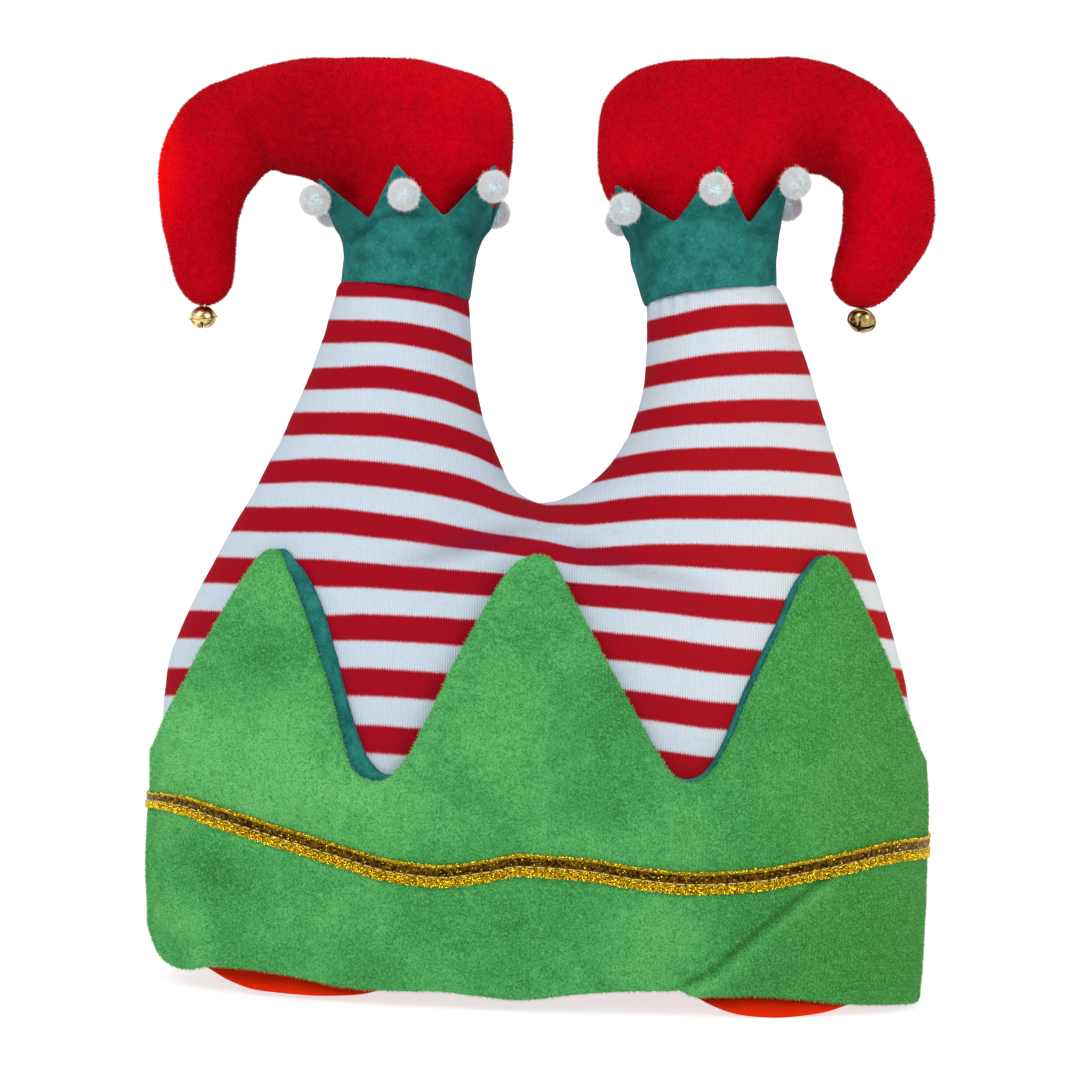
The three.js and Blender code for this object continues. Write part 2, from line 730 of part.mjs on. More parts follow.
for (const side of ['left', 'right']) {
    addPiece(`collar_${side}`, makeCollar(side), cloth(colours.felt));
    pompomPlaces(side).forEach((place, i) => {
        addPiece(`pompom_${side}_${i + 1}`, makePompom(), cloth(colours.pompom, 1), place);
    });
    addPiece(`boot_${side}`, makeBoot(side), cloth(colours.velour, 0.8));
    const rows = bootRows[side];
    const toe = bootCentre(side, rows[rows.length - 1]);
    const bell = addPiece(`bell_${side}`, makeBell(), metal(colours.gold, 0.2), toe);
    bell.position.z -= bellDrop;
}

export default hat;
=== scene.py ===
# %% [markdown]
# # A striped elf hat
# The hat stands on its rim with two stuffed legs in the air. It is made of
# eight cloths and trims: striped jersey, green plush, teal felt, red velour,
# red lining, gold braid, white yarn and brass bells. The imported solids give
# the frame, and every piece below is fitted to it, in metres.

# %% Load the frame
import math

import bmesh
import bpy
import numpy as np
from mathutils import Matrix, Vector, noise
from mathutils.bvhtree import BVHTree


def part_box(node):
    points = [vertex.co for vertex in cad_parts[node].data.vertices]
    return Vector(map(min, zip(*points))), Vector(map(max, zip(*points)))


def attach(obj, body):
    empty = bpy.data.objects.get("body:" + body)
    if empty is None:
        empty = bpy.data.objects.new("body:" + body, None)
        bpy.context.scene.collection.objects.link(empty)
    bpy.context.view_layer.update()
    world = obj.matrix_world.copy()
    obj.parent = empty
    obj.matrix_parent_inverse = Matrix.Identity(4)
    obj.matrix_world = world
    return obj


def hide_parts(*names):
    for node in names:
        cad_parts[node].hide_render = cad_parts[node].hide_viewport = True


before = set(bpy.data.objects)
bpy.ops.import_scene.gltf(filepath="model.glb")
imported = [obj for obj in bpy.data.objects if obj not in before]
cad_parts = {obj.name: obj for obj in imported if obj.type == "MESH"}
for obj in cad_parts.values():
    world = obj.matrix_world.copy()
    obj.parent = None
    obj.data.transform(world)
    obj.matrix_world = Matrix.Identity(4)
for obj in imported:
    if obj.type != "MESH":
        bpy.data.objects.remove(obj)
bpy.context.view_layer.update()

MM = 0.001
print("nodes in the frame:", len(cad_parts))

# %% [markdown]
# The camera looks straight at the front from 950 mm away, at the middle of
# the hat. The hat was lying turned by two degrees, so the camera is rolled by
# that much and the rim stays level on the floor.

# %% Camera
EYE = Vector((-2, -950, 170)) * MM
camera_data = bpy.data.cameras.new("camera")
camera_data.sensor_width = 36
camera_data.lens = 36 * 2500 / 1080
camera_data.clip_start = 0.01
camera = bpy.data.objects.new("camera", camera_data)
camera.matrix_world = (
    Matrix.Translation(EYE)
    @ Matrix.Rotation(math.radians(-2), 4, "Y")
    @ Matrix.Rotation(math.radians(90), 4, "X")
)
bpy.context.collection.objects.link(camera)
bpy.context.scene.camera = camera
bpy.context.scene.view_settings.view_transform = "Standard"
print("lens, mm:", round(camera_data.lens, 1))


# %% [markdown]
# Shader maths reads best as sums. Socket wraps one output of a node, and its
# operators add Math nodes, so `1 - mask` is a node as well. Finish holds one
# material, and its node method makes every other kind of node.

# %% Sockets that can be added and multiplied
class Socket:
    def __init__(self, finish, socket):
        self.finish = finish
        self.socket = socket

    def maths(self, operation, *values):
        return self.finish.node("ShaderNodeMath", {"operation": operation}, dict(enumerate(values)))

    def __add__(self, other): return self.maths("ADD", self, other)
    def __radd__(self, other): return self.maths("ADD", other, self)
    def __sub__(self, other): return self.maths("SUBTRACT", self, other)
    def __rsub__(self, other): return self.maths("SUBTRACT", other, self)
    def __mul__(self, other): return self.maths("MULTIPLY", self, other)
    def __rmul__(self, other): return self.maths("MULTIPLY", other, self)
    def __abs__(self): return self.maths("ABSOLUTE", self)
    def sine(self): return self.maths("SINE", self)

    def between(self, low, high, to_low=0, to_high=1):
        return self.finish.node(
            "ShaderNodeMapRange",
            {"interpolation_type": "SMOOTHSTEP"},
            {"Value": self, "From Min": low, "From Max": high, "To Min": to_low, "To Max": to_high},
        )


class Finish:
    def __init__(self, name, **constants):
        self.material = bpy.data.materials.new(name)
        self.material.use_nodes = True
        self.tree = self.material.node_tree
        self.tree.nodes.clear()
        self.output = self.tree.nodes.new("ShaderNodeOutputMaterial")
        self.shader = self.tree.nodes.new("ShaderNodeBsdfPrincipled")
        self.tree.links.new(self.shader.outputs[0], self.output.inputs["Surface"])
        for socket, value in constants.items():
            self.shader.inputs[socket.replace("_", " ")].default_value = value
        self.place = self.node("ShaderNodeTexCoord", out="Object")

    def node(self, kind, settings=None, sockets=None, out=0):
        made = self.tree.nodes.new(kind)
        for setting, value in (settings or {}).items():
            if setting == "stops":
                ramp = made.color_ramp
                while len(ramp.elements) < len(value):
                    ramp.elements.new(0.5)
                for element, (position, colour) in zip(ramp.elements, value):
                    element.position = position
                    element.color = (*colour, 1)
            else:
                setattr(made, setting, value)
        for socket, value in (sockets or {}).items():
            if isinstance(value, Socket):
                self.tree.links.new(value.socket, made.inputs[socket])
            else:
                made.inputs[socket].default_value = value
        return Socket(self, made.outputs[out])

    def set(self, socket, value):
        self.tree.links.new(value.socket, self.shader.inputs[socket])

    def noise(self, size, detail=2.0, rough=0.5, stretch=(1, 1, 1), seed=0.0, out=0):
        place = self.node(
            "ShaderNodeMapping",
            sockets={"Vector": self.place, "Location": (seed, seed * 0.7, -seed), "Scale": stretch},
        )
        return self.node(
            "ShaderNodeTexNoise",
            sockets={"Vector": place, "Scale": 1 / size, "Detail": detail, "Roughness": rough},
            out=out,
        )

    def blend(self, share, first, second, how="MIX"):
        first, second = (
            value if isinstance(value, Socket) else (*value, 1) for value in (first, second)
        )
        return self.node(
            "ShaderNodeMix", {"data_type": "RGBA", "blend_type": how, "clamp_factor": True},
            {0: share, 6: first, 7: second}, out=2,
        )

    def bump(self, height, distance, strength=1.0):
        return self.node(
            "ShaderNodeBump", sockets={"Height": height, "Distance": distance, "Strength": strength}
        )

    def axis(self, letter):
        return self.node("ShaderNodeSeparateXYZ", sockets={0: self.place}, out="XYZ".index(letter))


# %% [markdown]
# ## The cloths
# Jersey is knitted, so it shows fine upright ribs, and its stripes meet in
# small stitches instead of a ruled line. The stripes follow the surface: each
# point of the crown carries a number that grows by one from red stripe to red
# stripe, and the finish only asks how far that number is from a whole one.

# %% Jersey
RED_JERSEY = (0.29, 0.0020, 0.010)
# The right-hand red and white are the same cloth, painted lighter and warmer for the light on that side.
RED_LIT_RIGHT = (0.39, 0.008, 0.007)
WHITE_JERSEY = (0.465, 0.545, 0.62)
WHITE_LIT_RIGHT = (0.67, 0.675, 0.65)
PINK_EDGE = (0.60, 0.20, 0.24)


def ribs(finish, pitch):
    """Fine upright ribs: along X in front and behind, along Y at the sides."""
    normal = finish.node("ShaderNodeTexCoord", out="Normal")
    side = abs(finish.node("ShaderNodeSeparateXYZ", sockets={0: normal}, out=0)).between(0.6, 0.85)
    across = (finish.axis("X") * (2 * math.pi / pitch)).sine()
    deep = (finish.axis("Y") * (2 * math.pi / pitch)).sine()
    return across * (1 - side) + deep * side


jersey = Finish("jersey", Roughness=0.95, Specular_IOR_Level=0.05)
stripe = jersey.node("ShaderNodeAttribute", {"attribute_name": "stripe"}, out="Fac")
knit = ribs(jersey, 0.9 * MM)
ragged = stripe + knit * 0.014 + (jersey.noise(0.8 * MM, 1) - 0.5) * 0.035
ragged = ragged + (jersey.noise(12 * MM, 1) - 0.5) * 0.016
from_red = jersey.node("ShaderNodeMath", {"operation": "PINGPONG"}, {0: ragged, 1: 0.5})
white_share = from_red.between(0.235, 0.262)
edge_share = from_red.between(0.215, 0.25) * from_red.between(0.285, 0.25)
shade = jersey.noise(38 * MM, 2)
# Painted light: the right half of the jersey is painted lighter and warmer.
right_side_shading = jersey.axis("X").between(0.0, 0.15) * 0.8 + (shade - 0.5) * 0.3
red_cloth = jersey.blend(right_side_shading, RED_JERSEY, RED_LIT_RIGHT)
white_cloth = jersey.blend(right_side_shading, WHITE_JERSEY, WHITE_LIT_RIGHT)
cloth = jersey.blend(white_share, red_cloth, white_cloth)
cloth = jersey.blend(edge_share * 0.45, cloth, PINK_EDGE)
cloth = jersey.blend((knit * 0.5 + 0.5) * 0.14, cloth, (0.05, 0.01, 0.02))
heather = jersey.noise(1.3 * MM, 3, 0.6, stretch=(0.35, 0.35, 1))
cloth = jersey.blend(heather.between(0.5, 0.3) * 0.05, cloth, (0.05, 0.01, 0.03))
# Painted shade: the jersey is darkened along the folds that run out from the fork.
crease = jersey.node("ShaderNodeAttribute", {"attribute_name": "crease"}, out="Fac")
jersey.set("Base Color", jersey.blend(crease, cloth, (0.07, 0.01, 0.04)))
courses = (jersey.axis("Z") * (2 * math.pi / (0.7 * MM))).sine()
jersey.set("Normal", jersey.bump(knit * 0.6 + courses * 0.25 + jersey.noise(0.5 * MM, 2), 0.00012, 0.7))
print("jersey nodes:", len(jersey.tree.nodes))

# %% [markdown]
# Plush is a mat of short upright fibres. Where the pile was brushed the other
# way it looks darker, which gives large soft patches, and each bundle of
# fibres catches the light by itself, which gives a fine sparkle.

# %% Plush
plush = Finish(
    "plush", Roughness=0.9, Specular_IOR_Level=0.12,
    Sheen_Weight=0.12, Sheen_Roughness=0.4, Sheen_Tint=(0.7, 1.0, 0.6, 1),
)
patches = plush.noise(30 * MM, 3, 0.55, seed=0.31)
crushed = plush.noise(4 * MM, 3, 0.65, seed=0.12)
bundles = plush.noise(0.75 * MM, 2, 0.65)
# Painted light and shade: lighter and darker patches laid on the cuff, partly brushed nap.
nap_and_shading = plush.node("ShaderNodeAttribute", {"attribute_name": "brush"}, out="Fac")
tint = plush.node("ShaderNodeAttribute", {"attribute_name": "tint"}, out="Fac")
nap = (patches * 0.62 + crushed * 0.38).between(0.34, 0.66) * 0.52 + 0.26 + nap_and_shading * 0.52
green = plush.node(
    "ShaderNodeValToRGB",
    {"stops": [(0.0, (0.025, 0.195, 0.045)), (0.5, (0.080, 0.41, 0.112)), (1.0, (0.20, 0.63, 0.20))]},
    {0: nap},
)
# Painted shade: the right side of the cuff is painted darker and yellower green.
right_side_shading = plush.axis("X").between(0.03, 0.15)
green = plush.blend(right_side_shading * 0.64, green, (0.070, 0.285, 0.012))
green = plush.blend(bundles.between(0.5, 0.66) * 0.5, green, (0.26, 0.66, 0.24))
green = plush.blend(tint.between(0.6, 1.0) * 0.34, green, (0.34, 0.70, 0.30))
green = plush.blend(bundles.between(0.50, 0.35) * 0.6, green, (0.014, 0.14, 0.028))
wale = ribs(plush, 1.25 * MM) * 0.5 + 0.5
green = plush.blend(wale * (plush.axis("X").between(-0.02, 0.10) * 0.12 + 0.04), green, (0.010, 0.11, 0.020))
green = plush.blend(tint.between(0.3, 0.0) * 0.45, green, (0.014, 0.16, 0.030))
plush.set("Base Color", green)
plush.set("Normal", plush.bump(bundles + crushed * 1.5, 0.0005, 0.5))

# %% [markdown]
# Velour is a shorter pile, so it is smoother than plush: deep red, with slow changes where a hand has brushed
# it. Its brightest fibres are painted highlights, and the patches of the boots are painted light and shade,
# partly brushed nap.

# %% Velour
velour = Finish(
    "velour", Roughness=0.95, Specular_IOR_Level=0.03,
    Sheen_Weight=0.05, Sheen_Roughness=0.4, Sheen_Tint=(1.0, 0.1, 0.1, 1),
)
nap_and_shading = velour.noise(30 * MM, 2, 0.5, seed=0.5)
mottle = velour.noise(2.4 * MM, 4, 0.7, seed=0.9)
fine = velour.noise(0.9 * MM, 3, 0.7)
tint = velour.node("ShaderNodeAttribute", {"attribute_name": "tint"}, out="Fac")
red = velour.blend(nap_and_shading.between(0.3, 0.7), (0.385, 0.0, 0.0055), (0.50, 0.0, 0.0075))
# Painted light and shade: lighter and darker patches laid on the boots, partly brushed nap.
brush = velour.node("ShaderNodeAttribute", {"attribute_name": "brush"}, out="Fac")
red = velour.blend(brush * 0.75, red, (0.60, 0.003, 0.008))
red = velour.blend(brush * -0.75, red, (0.20, 0.0, 0.004))
red = velour.blend(mottle.between(0.50, 0.66) * 0.32, red, (0.55, 0.002, 0.010))
red = velour.blend(mottle.between(0.50, 0.34) * 0.36, red, (0.23, 0.0, 0.003))
# Painted highlights: a few fibres are painted bright red.
red = velour.blend(fine.between(0.62, 0.74) * 0.35, red, (0.80, 0.02, 0.03))
red = velour.blend(tint.between(0.85, 1.0) * 0.25, red, (0.75, 0.04, 0.05))
# Painted light: the outer side of the left boot's toe is painted lighter.
outer = velour.axis("X").between(-0.136, -0.153) * velour.axis("Z").between(0.270, 0.300)
red = velour.blend(outer * 0.8, red, (0.85, 0.001, 0.0))
velour.set("Base Color", velour.blend(fine.between(0.45, 0.3) * 0.4, red, (0.18, 0.0, 0.003)))
velour.set("Normal", velour.bump(fine * 0.7 + mottle, 0.0004, 0.6))

# %% [markdown]
# Felt is matted wool: no threads, only short fibres that lie in all
# directions and are a little lighter than the ground between them.

# %% Felt
felt = Finish("felt", Roughness=0.95, Specular_IOR_Level=0.08)
ground = felt.noise(7 * MM, 4, 0.7)
lying = felt.noise(0.7 * MM, 3, 0.65, stretch=(1, 1, 0.6))
standing = felt.noise(0.7 * MM, 3, 0.65, stretch=(0.6, 1, 1), seed=0.2)
teal = felt.blend(ground.between(0.3, 0.7), (0.0070, 0.088, 0.083), (0.021, 0.180, 0.162))
teal = felt.blend(lying.between(0.52, 0.70) * 0.45, teal, (0.05, 0.27, 0.24))
# Painted shade in the creases and shaded places of the collars.
crease = felt.node("ShaderNodeAttribute", {"attribute_name": "crease"}, out="Fac")
teal = felt.blend(crease * 0.7, teal, (0.003, 0.045, 0.046))
felt.set("Base Color", felt.blend(standing.between(0.5, 0.28) * 0.5, teal, (0.004, 0.050, 0.050)))
felt.set("Normal", felt.bump(lying + standing, 0.0004, 0.7))

# %% [markdown]
# The lining is a thin plain cloth in a warmer red. The pompoms are cut yarn,
# nearly white, with a grey shade deep between the fibres.

# %% Lining and yarn
lining = Finish("lining", Roughness=0.9, Specular_IOR_Level=0.05)
weave = ribs(lining, 0.8 * MM)
soft = lining.noise(14 * MM, 3)
lining.set("Base Color", lining.blend(soft, (0.50, 0.010, 0.0), (0.68, 0.022, 0.002)))
lining.set("Normal", lining.bump(weave * 0.3 + lining.noise(1.2 * MM, 2), 0.0002, 0.5))

# The yarn glows a little: painted light, standing in for light passing through the white fibres.
yarn = Finish("yarn", Roughness=0.95, Specular_IOR_Level=0.1, Emission_Strength=0.70)
tuft = yarn.noise(1.6 * MM, 3)
yarn.set("Base Color", yarn.blend(tuft.between(0.3, 0.6), (0.68, 0.86, 0.97), (0.75, 0.92, 1.0)))
yarn.set("Emission Color", yarn.blend(tuft, (0.52, 0.80, 0.95), (0.62, 0.90, 1.0)))
yarn.set("Normal", yarn.bump(tuft, 0.0003, 0.25))

# %% [markdown]
# The trims are metal on cloth. The braid is woven from flat gilt thread: a
# dark smooth strip with glitter along its edges. The bells are polished brass.

# %% Gold and brass
lame = Finish("braid_strip", Metallic=0.9, Roughness=0.32)
thread_wave = lame.node("ShaderNodeUVMap", {"uv_map": "braid"})
along = lame.node("ShaderNodeSeparateXYZ", sockets={0: thread_wave}, out=0)
up_strip = lame.node("ShaderNodeSeparateXYZ", sockets={0: thread_wave}, out=1)
threads = (along * (2 * math.pi / 0.55)).sine()
patchy = lame.noise(1.3 * MM, 3)
glint = lame.noise(0.45 * MM, 2, 0.7)
edges = up_strip.between(0.52, 0.40) + up_strip.between(0.80, 0.90)
gilt = lame.blend(patchy.between(0.38, 0.62), (0.022, 0.009, 0.0), (0.19, 0.095, 0.003))
bright = lame.blend(glint.between(0.44, 0.60), (0.20, 0.085, 0.0), (1.0, 0.68, 0.02))
lame.set("Base Color", lame.blend(edges.between(0.1, 0.9), gilt, bright))
lame.set("Normal", lame.bump(threads * 0.35 + glint * edges * 4 + patchy, 0.0004, 1.0))

glitter = Finish("glitter", Metallic=1.0, Roughness=0.12)
chip = glitter.noise(0.5 * MM, 1)
glitter.set("Base Color", glitter.blend(chip.between(0.38, 0.50), (0.38, 0.17, 0.0), (1.0, 0.74, 0.03)))

stitch = Finish("stitch_thread", Roughness=0.7)
stitch.set("Base Color", stitch.blend(stitch.noise(0.6 * MM), (0.50, 0.36, 0.12), (0.78, 0.64, 0.34)))

brass = Finish("bell_brass", Metallic=1.0, Roughness=0.2)
tarnish = brass.noise(3 * MM, 3)
shine = brass.blend(tarnish.between(0.35, 0.62), (0.30, 0.19, 0.045), (0.82, 0.66, 0.31))
# Painted shade: the bell on the right is painted darker than the left.
brass.set("Base Color", brass.blend(brass.axis("X").between(-0.01, 0.01) * 0.6, shine, (0.20, 0.115, 0.025)))
brass.set("Roughness", tarnish.between(0.3, 0.7, 0.10, 0.24))
print("finishes:", len(bpy.data.materials))

# %% [markdown]
# ## The padded crown
# The crown is one sheet of jersey, padded, that splits into two legs. Its
# rings are ovals whose sizes come from a short table, and smooth curves fill
# in between the rows of the table. Subdivision then rounds the saddle where
# the legs part, which a plain loft would leave as a sharp edge.

# %% Smooth tables
def through(places, values, at):
    """A smooth curve through table values that never overshoots them."""
    places = np.asarray(places, float)
    values = np.asarray(values, float)
    flat = values.reshape(len(places), -1)
    gaps = np.diff(places)[:, None]
    slopes = np.diff(flat, axis=0) / gaps
    tangents = np.zeros_like(flat)
    before, after = slopes[:-1], slopes[1:]
    same = before * after > 0
    weight_1 = 2 * gaps[1:] + gaps[:-1]
    weight_2 = gaps[1:] + 2 * gaps[:-1]
    with np.errstate(divide="ignore", invalid="ignore"):
        mean = (weight_1 + weight_2) / (weight_1 / before + weight_2 / after)
    tangents[1:-1] = np.where(same, mean, 0)
    tangents[0], tangents[-1] = slopes[0], slopes[-1]
    at = np.clip(np.asarray(at, float), places[0], places[-1])
    cell = np.clip(np.searchsorted(places, at, side="right") - 1, 0, len(places) - 2)
    share = ((at - places[cell]) / gaps[cell, 0])[:, None]
    step = gaps[cell]
    result = (
        (2 * share**3 - 3 * share**2 + 1) * flat[cell]
        + (share**3 - 2 * share**2 + share) * step * tangents[cell]
        + (3 * share**2 - 2 * share**3) * flat[cell + 1]
        + (share**3 - share**2) * step * tangents[cell + 1]
    )
    return result.reshape((len(at),) + values.shape[1:])


def smooth_step(low, high, value):
    share = np.clip((np.asarray(value, float) - low) / (high - low), 0, 1)
    return share * share * (3 - 2 * share)


def lumps(points, size, seed):
    """Soft noise from -1 to 1 at each point, with lumps of the given size in mm."""
    shift = Vector((seed * 7.31, seed * 3.17, seed * 5.53))
    return np.array([noise.noise(Vector(point) / size + shift) for point in points])


# %% Sizes of the crown
HALF_WIDTH, HALF_DEPTH, FORK, FORK_REACH, OVAL = 143.4, 47.9, 185.0, 34.0, 2.3
CROWN_ROWS = np.array([
    # side, middle, left, right, depth, pinch
    (0.065, 0.065, 1, 1, 1, 0),
    (0.51, 0.51, 0.997, 0.996, 1, 0),
    (0.63, 0.63, 0.988, 0.973, 0.99, 0),
    (0.74, 0.735, 0.942, 0.933, 0.97, 0.02),
    (0.84, 0.82, 0.882, 0.888, 0.93, 0.06),
    (0.92, 0.88, 0.828, 0.851, 0.88, 0.13),
    (0.995, 0.92, 0.775, 0.812, 0.82, 0.24),
])
LEG_TOP, LEG_DEPTH = 270.0, 40.0
LEG_ROWS = {
    # height, outer edge, inner edge, depth, lean
    "left": np.array([
        (0.707, 0.746, 0.082, 0.86, 0.008),
        (0.75, 0.706, 0.120, 0.81, 0.008),
        (0.80, 0.67, 0.170, 0.74, 0.006),
        (0.875, 0.622, 0.207, 0.655, 0.004),
        (0.936, 0.59, 0.217, 0.6, 0.006),
        (0.972, 0.576, 0.220, 0.58, 0.007),
        (0.980, 0.55, 0.238, 0.51, 0.007),
        (1.012, 0.543, 0.225, 0.5, 0),
    ]),
    "right": np.array([
        (0.711, 0.794, 0.082, 0.86, 0.01),
        (0.75, 0.762, 0.160, 0.82, 0.01),
        (0.80, 0.727, 0.211, 0.75, 0.01),
        (0.875, 0.679, 0.247, 0.665, 0.012),
        (0.94, 0.63, 0.249, 0.61, 0.012),
        (0.981, 0.600, 0.245, 0.58, 0.013),
        (0.989, 0.573, 0.254, 0.51, 0.013),
        (1.025, 0.57, 0.215, 0.5, 0),
    ]),
}
HOLLOW_ROWS = np.array([
    # height, half width and half depth of the hollow for the head
    (0.08, 1, 1), (0.35, 1, 1), (0.62, 0.985, 0.985), (0.78, 0.93, 0.94),
    (0.89, 0.82, 0.83), (0.965, 0.64, 0.62), (1, 0.4, 0.34),
])
HEAD_TOP, WALL = 152.0, 4.0


def oval(turn):
    """Across and deep, from -1 to 1, at a turn round the flattened oval."""
    across = np.sign(np.cos(turn)) * np.abs(np.cos(turn)) ** (2 / OVAL)
    deep = np.sign(np.sin(turn)) * np.abs(np.sin(turn)) ** (2 / OVAL)
    return across, deep


def crown_ring(row, across, deep):
    side, middle, left, right, depth, pinch = row
    x = across * HALF_WIDTH * np.where(across < 0, left, right)
    near = np.exp(-((x / FORK_REACH) ** 2))
    y = deep * HALF_DEPTH * depth * (1 - pinch * near)
    return np.stack([x, y, FORK * (side + (middle - side) * near)], axis=1)


# %% Build a skin from rings
def skin(rings, close=True):
    """Points and faces of a skin over rings of equal count."""
    points = np.concatenate(rings)
    count = len(rings[0])
    faces = []
    for row in range(len(rings) - 1):
        for i in range(count if close else count - 1):
            j = (i + 1) % count
            faces.append((row * count + i, row * count + j, (row + 1) * count + j, (row + 1) * count + i))
    return points, faces


def placed(name, shape):
    """An object in the scene from a bmesh, which is freed."""
    mesh = bpy.data.meshes.new(name)
    shape.to_mesh(mesh)
    shape.free()
    piece = bpy.data.objects.new(name, mesh)
    bpy.context.collection.objects.link(piece)
    return piece


def to_mesh(name, parts, merge=0.02):
    """One object from several (points, faces), in mm, with doubles merged."""
    shape = bmesh.new()
    for points, faces in parts:
        corners = [shape.verts.new(Vector(point) * MM) for point in points]
        for face in faces:
            if len(set(face)) > 2:
                shape.faces.new([corners[i] for i in face])
    bmesh.ops.remove_doubles(shape, verts=shape.verts, dist=merge * MM)
    bmesh.ops.dissolve_degenerate(shape, edges=shape.edges, dist=1e-7)
    bmesh.ops.recalc_face_normals(shape, faces=shape.faces)
    for face in shape.faces:
        face.smooth = True
    return placed(name, shape)


def baked(piece):
    """Turns a piece with its modifiers into a plain mesh."""
    graph = bpy.context.evaluated_depsgraph_get()
    mesh = bpy.data.meshes.new_from_object(piece.evaluated_get(graph))
    piece.modifiers.clear()
    piece.data = mesh
    return piece


def subdivided(piece, levels):
    modifier = piece.modifiers.new("rounding", "SUBSURF")
    modifier.levels = modifier.render_levels = levels
    return baked(piece)


def coordinates(piece):
    values = np.empty(len(piece.data.vertices) * 3)
    piece.data.vertices.foreach_get("co", values)
    return values.reshape(-1, 3) / MM


def normals(piece):
    values = np.empty(len(piece.data.vertices) * 3)
    piece.data.vertices.foreach_get("normal", values)
    return values.reshape(-1, 3)


def place_points(piece, points):
    piece.data.vertices.foreach_set("co", (points * MM).ravel())
    piece.data.update()


def dress(piece, finish, slot, *nodes):
    """Gives a piece its finish and its place on the hat."""
    if finish is not None:
        piece.data.materials.clear()
        piece.data.materials.append(finish.material)
    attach(piece, "root")
    if nodes:
        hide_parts(*nodes)
    print(piece.name, "faces:", len(piece.data.polygons))


# %% Rings of the crown and the legs
ROUND = 64
turns = math.pi + 2 * math.pi * np.arange(ROUND) / ROUND
across, deep = oval(turns)
heights = np.linspace(0, 1, 15)
crown_table = through(np.linspace(0, 1, len(CROWN_ROWS)), CROWN_ROWS, heights)
body_rings = [crown_ring(row, across, deep) for row in crown_table]
hollow_rings = []
for up, wide, thick in HOLLOW_ROWS:
    hollow_rings.append(np.stack([
        across * (HALF_WIDTH - WALL) * wide, deep * (HALF_DEPTH - WALL) * thick,
        np.full(ROUND, up * HEAD_TOP),
    ], axis=1))
apex = np.tile((0, 0, HEAD_TOP + 0.5), (ROUND, 1))
crown_parts = [skin([apex, *hollow_rings[::-1], *body_rings])]

BRIDGE, LEG_TURN = 8, 280
for side, sign in (("left", -1), ("right", 1)):
    half = ROUND // 2
    start = ROUND // 4 if side == "right" else ROUND // 4 + half
    outline = body_rings[-1][[(start + i) % ROUND for i in range(half + 1)]]
    first, last = outline[0], outline[-1]
    turn = np.pi * np.arange(1, BRIDGE) / BRIDGE
    share = (1 - np.cos(turn)) / 2
    bridge = np.stack([
        0 * turn, last[1] + (first[1] - last[1]) * share, last[2] + (FORK - last[2]) * np.sin(turn),
    ], axis=1)
    sections = [np.concatenate([outline, bridge])]
    degrees = np.concatenate([
        -LEG_TURN / 2 + LEG_TURN * np.arange(half + 1) / half,
        LEG_TURN / 2 + (360 - LEG_TURN) * np.arange(1, BRIDGE) / BRIDGE,
    ]) + (0 if side == "right" else 180)
    cosine, sine = np.cos(np.radians(degrees)), np.sin(np.radians(degrees))
    for up, outer, inner, depth, lean in LEG_ROWS[side]:
        sections.append(np.stack([
            sign * HALF_WIDTH * (outer + inner) / 2 + HALF_WIDTH * (outer - inner) / 2 * cosine,
            LEG_DEPTH * depth * sine,
            LEG_TOP * (up + lean * sign * cosine),
        ], axis=1))
    marks = np.concatenate([[0.672], LEG_ROWS[side][:, 0]])
    fine_marks = np.concatenate([
        [0.672, 0.69], np.linspace(marks[1], marks[6], 11), [marks[7], marks[8]],
    ])
    fine_sections = list(through(marks, np.array(sections), fine_marks))
    top = fine_sections[-1]
    fine_sections.append(np.tile(top.mean(axis=0), (len(top), 1)) * 0.5 + top * 0.5)
    fine_sections.append(np.tile(top.mean(axis=0), (len(top), 1)))
    crown_parts.append(skin(fine_sections))

crown = to_mesh("crown_jersey", crown_parts)
crown = subdivided(crown, 2)
print("crown points:", len(crown.data.vertices))

# %% [markdown]
# Stuffing and sewing leave marks: a groove where the front and back panels
# are sewn together, folds that run out from the fork where the seams pull,
# and small gathers under each collar. Each is a short push along the surface,
# strongest on a line and gone a few millimetres away.

# %% Folds, seams and gathers of the crown
def to_line(x, z, line):
    """Distance to a line of points in the front view, and the side it is on."""
    line = np.asarray(line, float)
    best = np.full(len(x), 1e9)
    side = np.zeros(len(x))
    along = np.zeros(len(x))
    lengths = np.linalg.norm(np.diff(line, axis=0), axis=1)
    run = 0.0
    for (ax, az), (bx, bz), length in zip(line[:-1], line[1:], lengths):
        dx, dz = (bx - ax) / length, (bz - az) / length
        share = np.clip((x - ax) * dx + (z - az) * dz, 0, length)
        px, pz = x - ax - share * dx, z - az - share * dz
        distance = np.hypot(px, pz)
        nearer = distance < best
        best = np.where(nearer, distance, best)
        side = np.where(nearer, np.sign(dx * pz - dz * px), side)
        along = np.where(nearer, run + share, along)
        run += length
    return best, side, along / run


def fold(points, line, depth, width, is_front=True):
    """A crease with a soft roll on one side of it."""
    distance, side, along = to_line(points[:, 0], points[:, 2], line)
    fade = np.sin(np.pi * np.clip(0.08 + 0.84 * along, 0, 1)) ** 0.5
    groove = -depth * np.exp(-((distance / width) ** 2))
    roll = 0.7 * depth * np.exp(-(((distance - 2.2 * width) / (1.6 * width)) ** 2)) * (side > 0)
    here = points[:, 1] < 0 if is_front else points[:, 1] > 0
    return (groove + roll) * fade * here


FORK_FOLDS = [
    [(2, 176), (-9, 173), (-19, 169), (-31, 165.5), (-42, 162), (-54, 159)],
    [(2, 174), (16, 166), (30, 161.5), (46, 158), (64, 152)],
]


def tucked(points):
    """The left side is drawn in below the braid, and most at its bottom corner."""
    x, z = points[:, 0], points[:, 2]
    inwards = 1.7 * smooth_step(92, 72, z) + 1.6 * smooth_step(44, 24, z) + 3.4 * smooth_step(23, 5, z)
    moved = np.array(points)
    moved[:, 0] += inwards * smooth_step(-110, -146, x)
    return moved


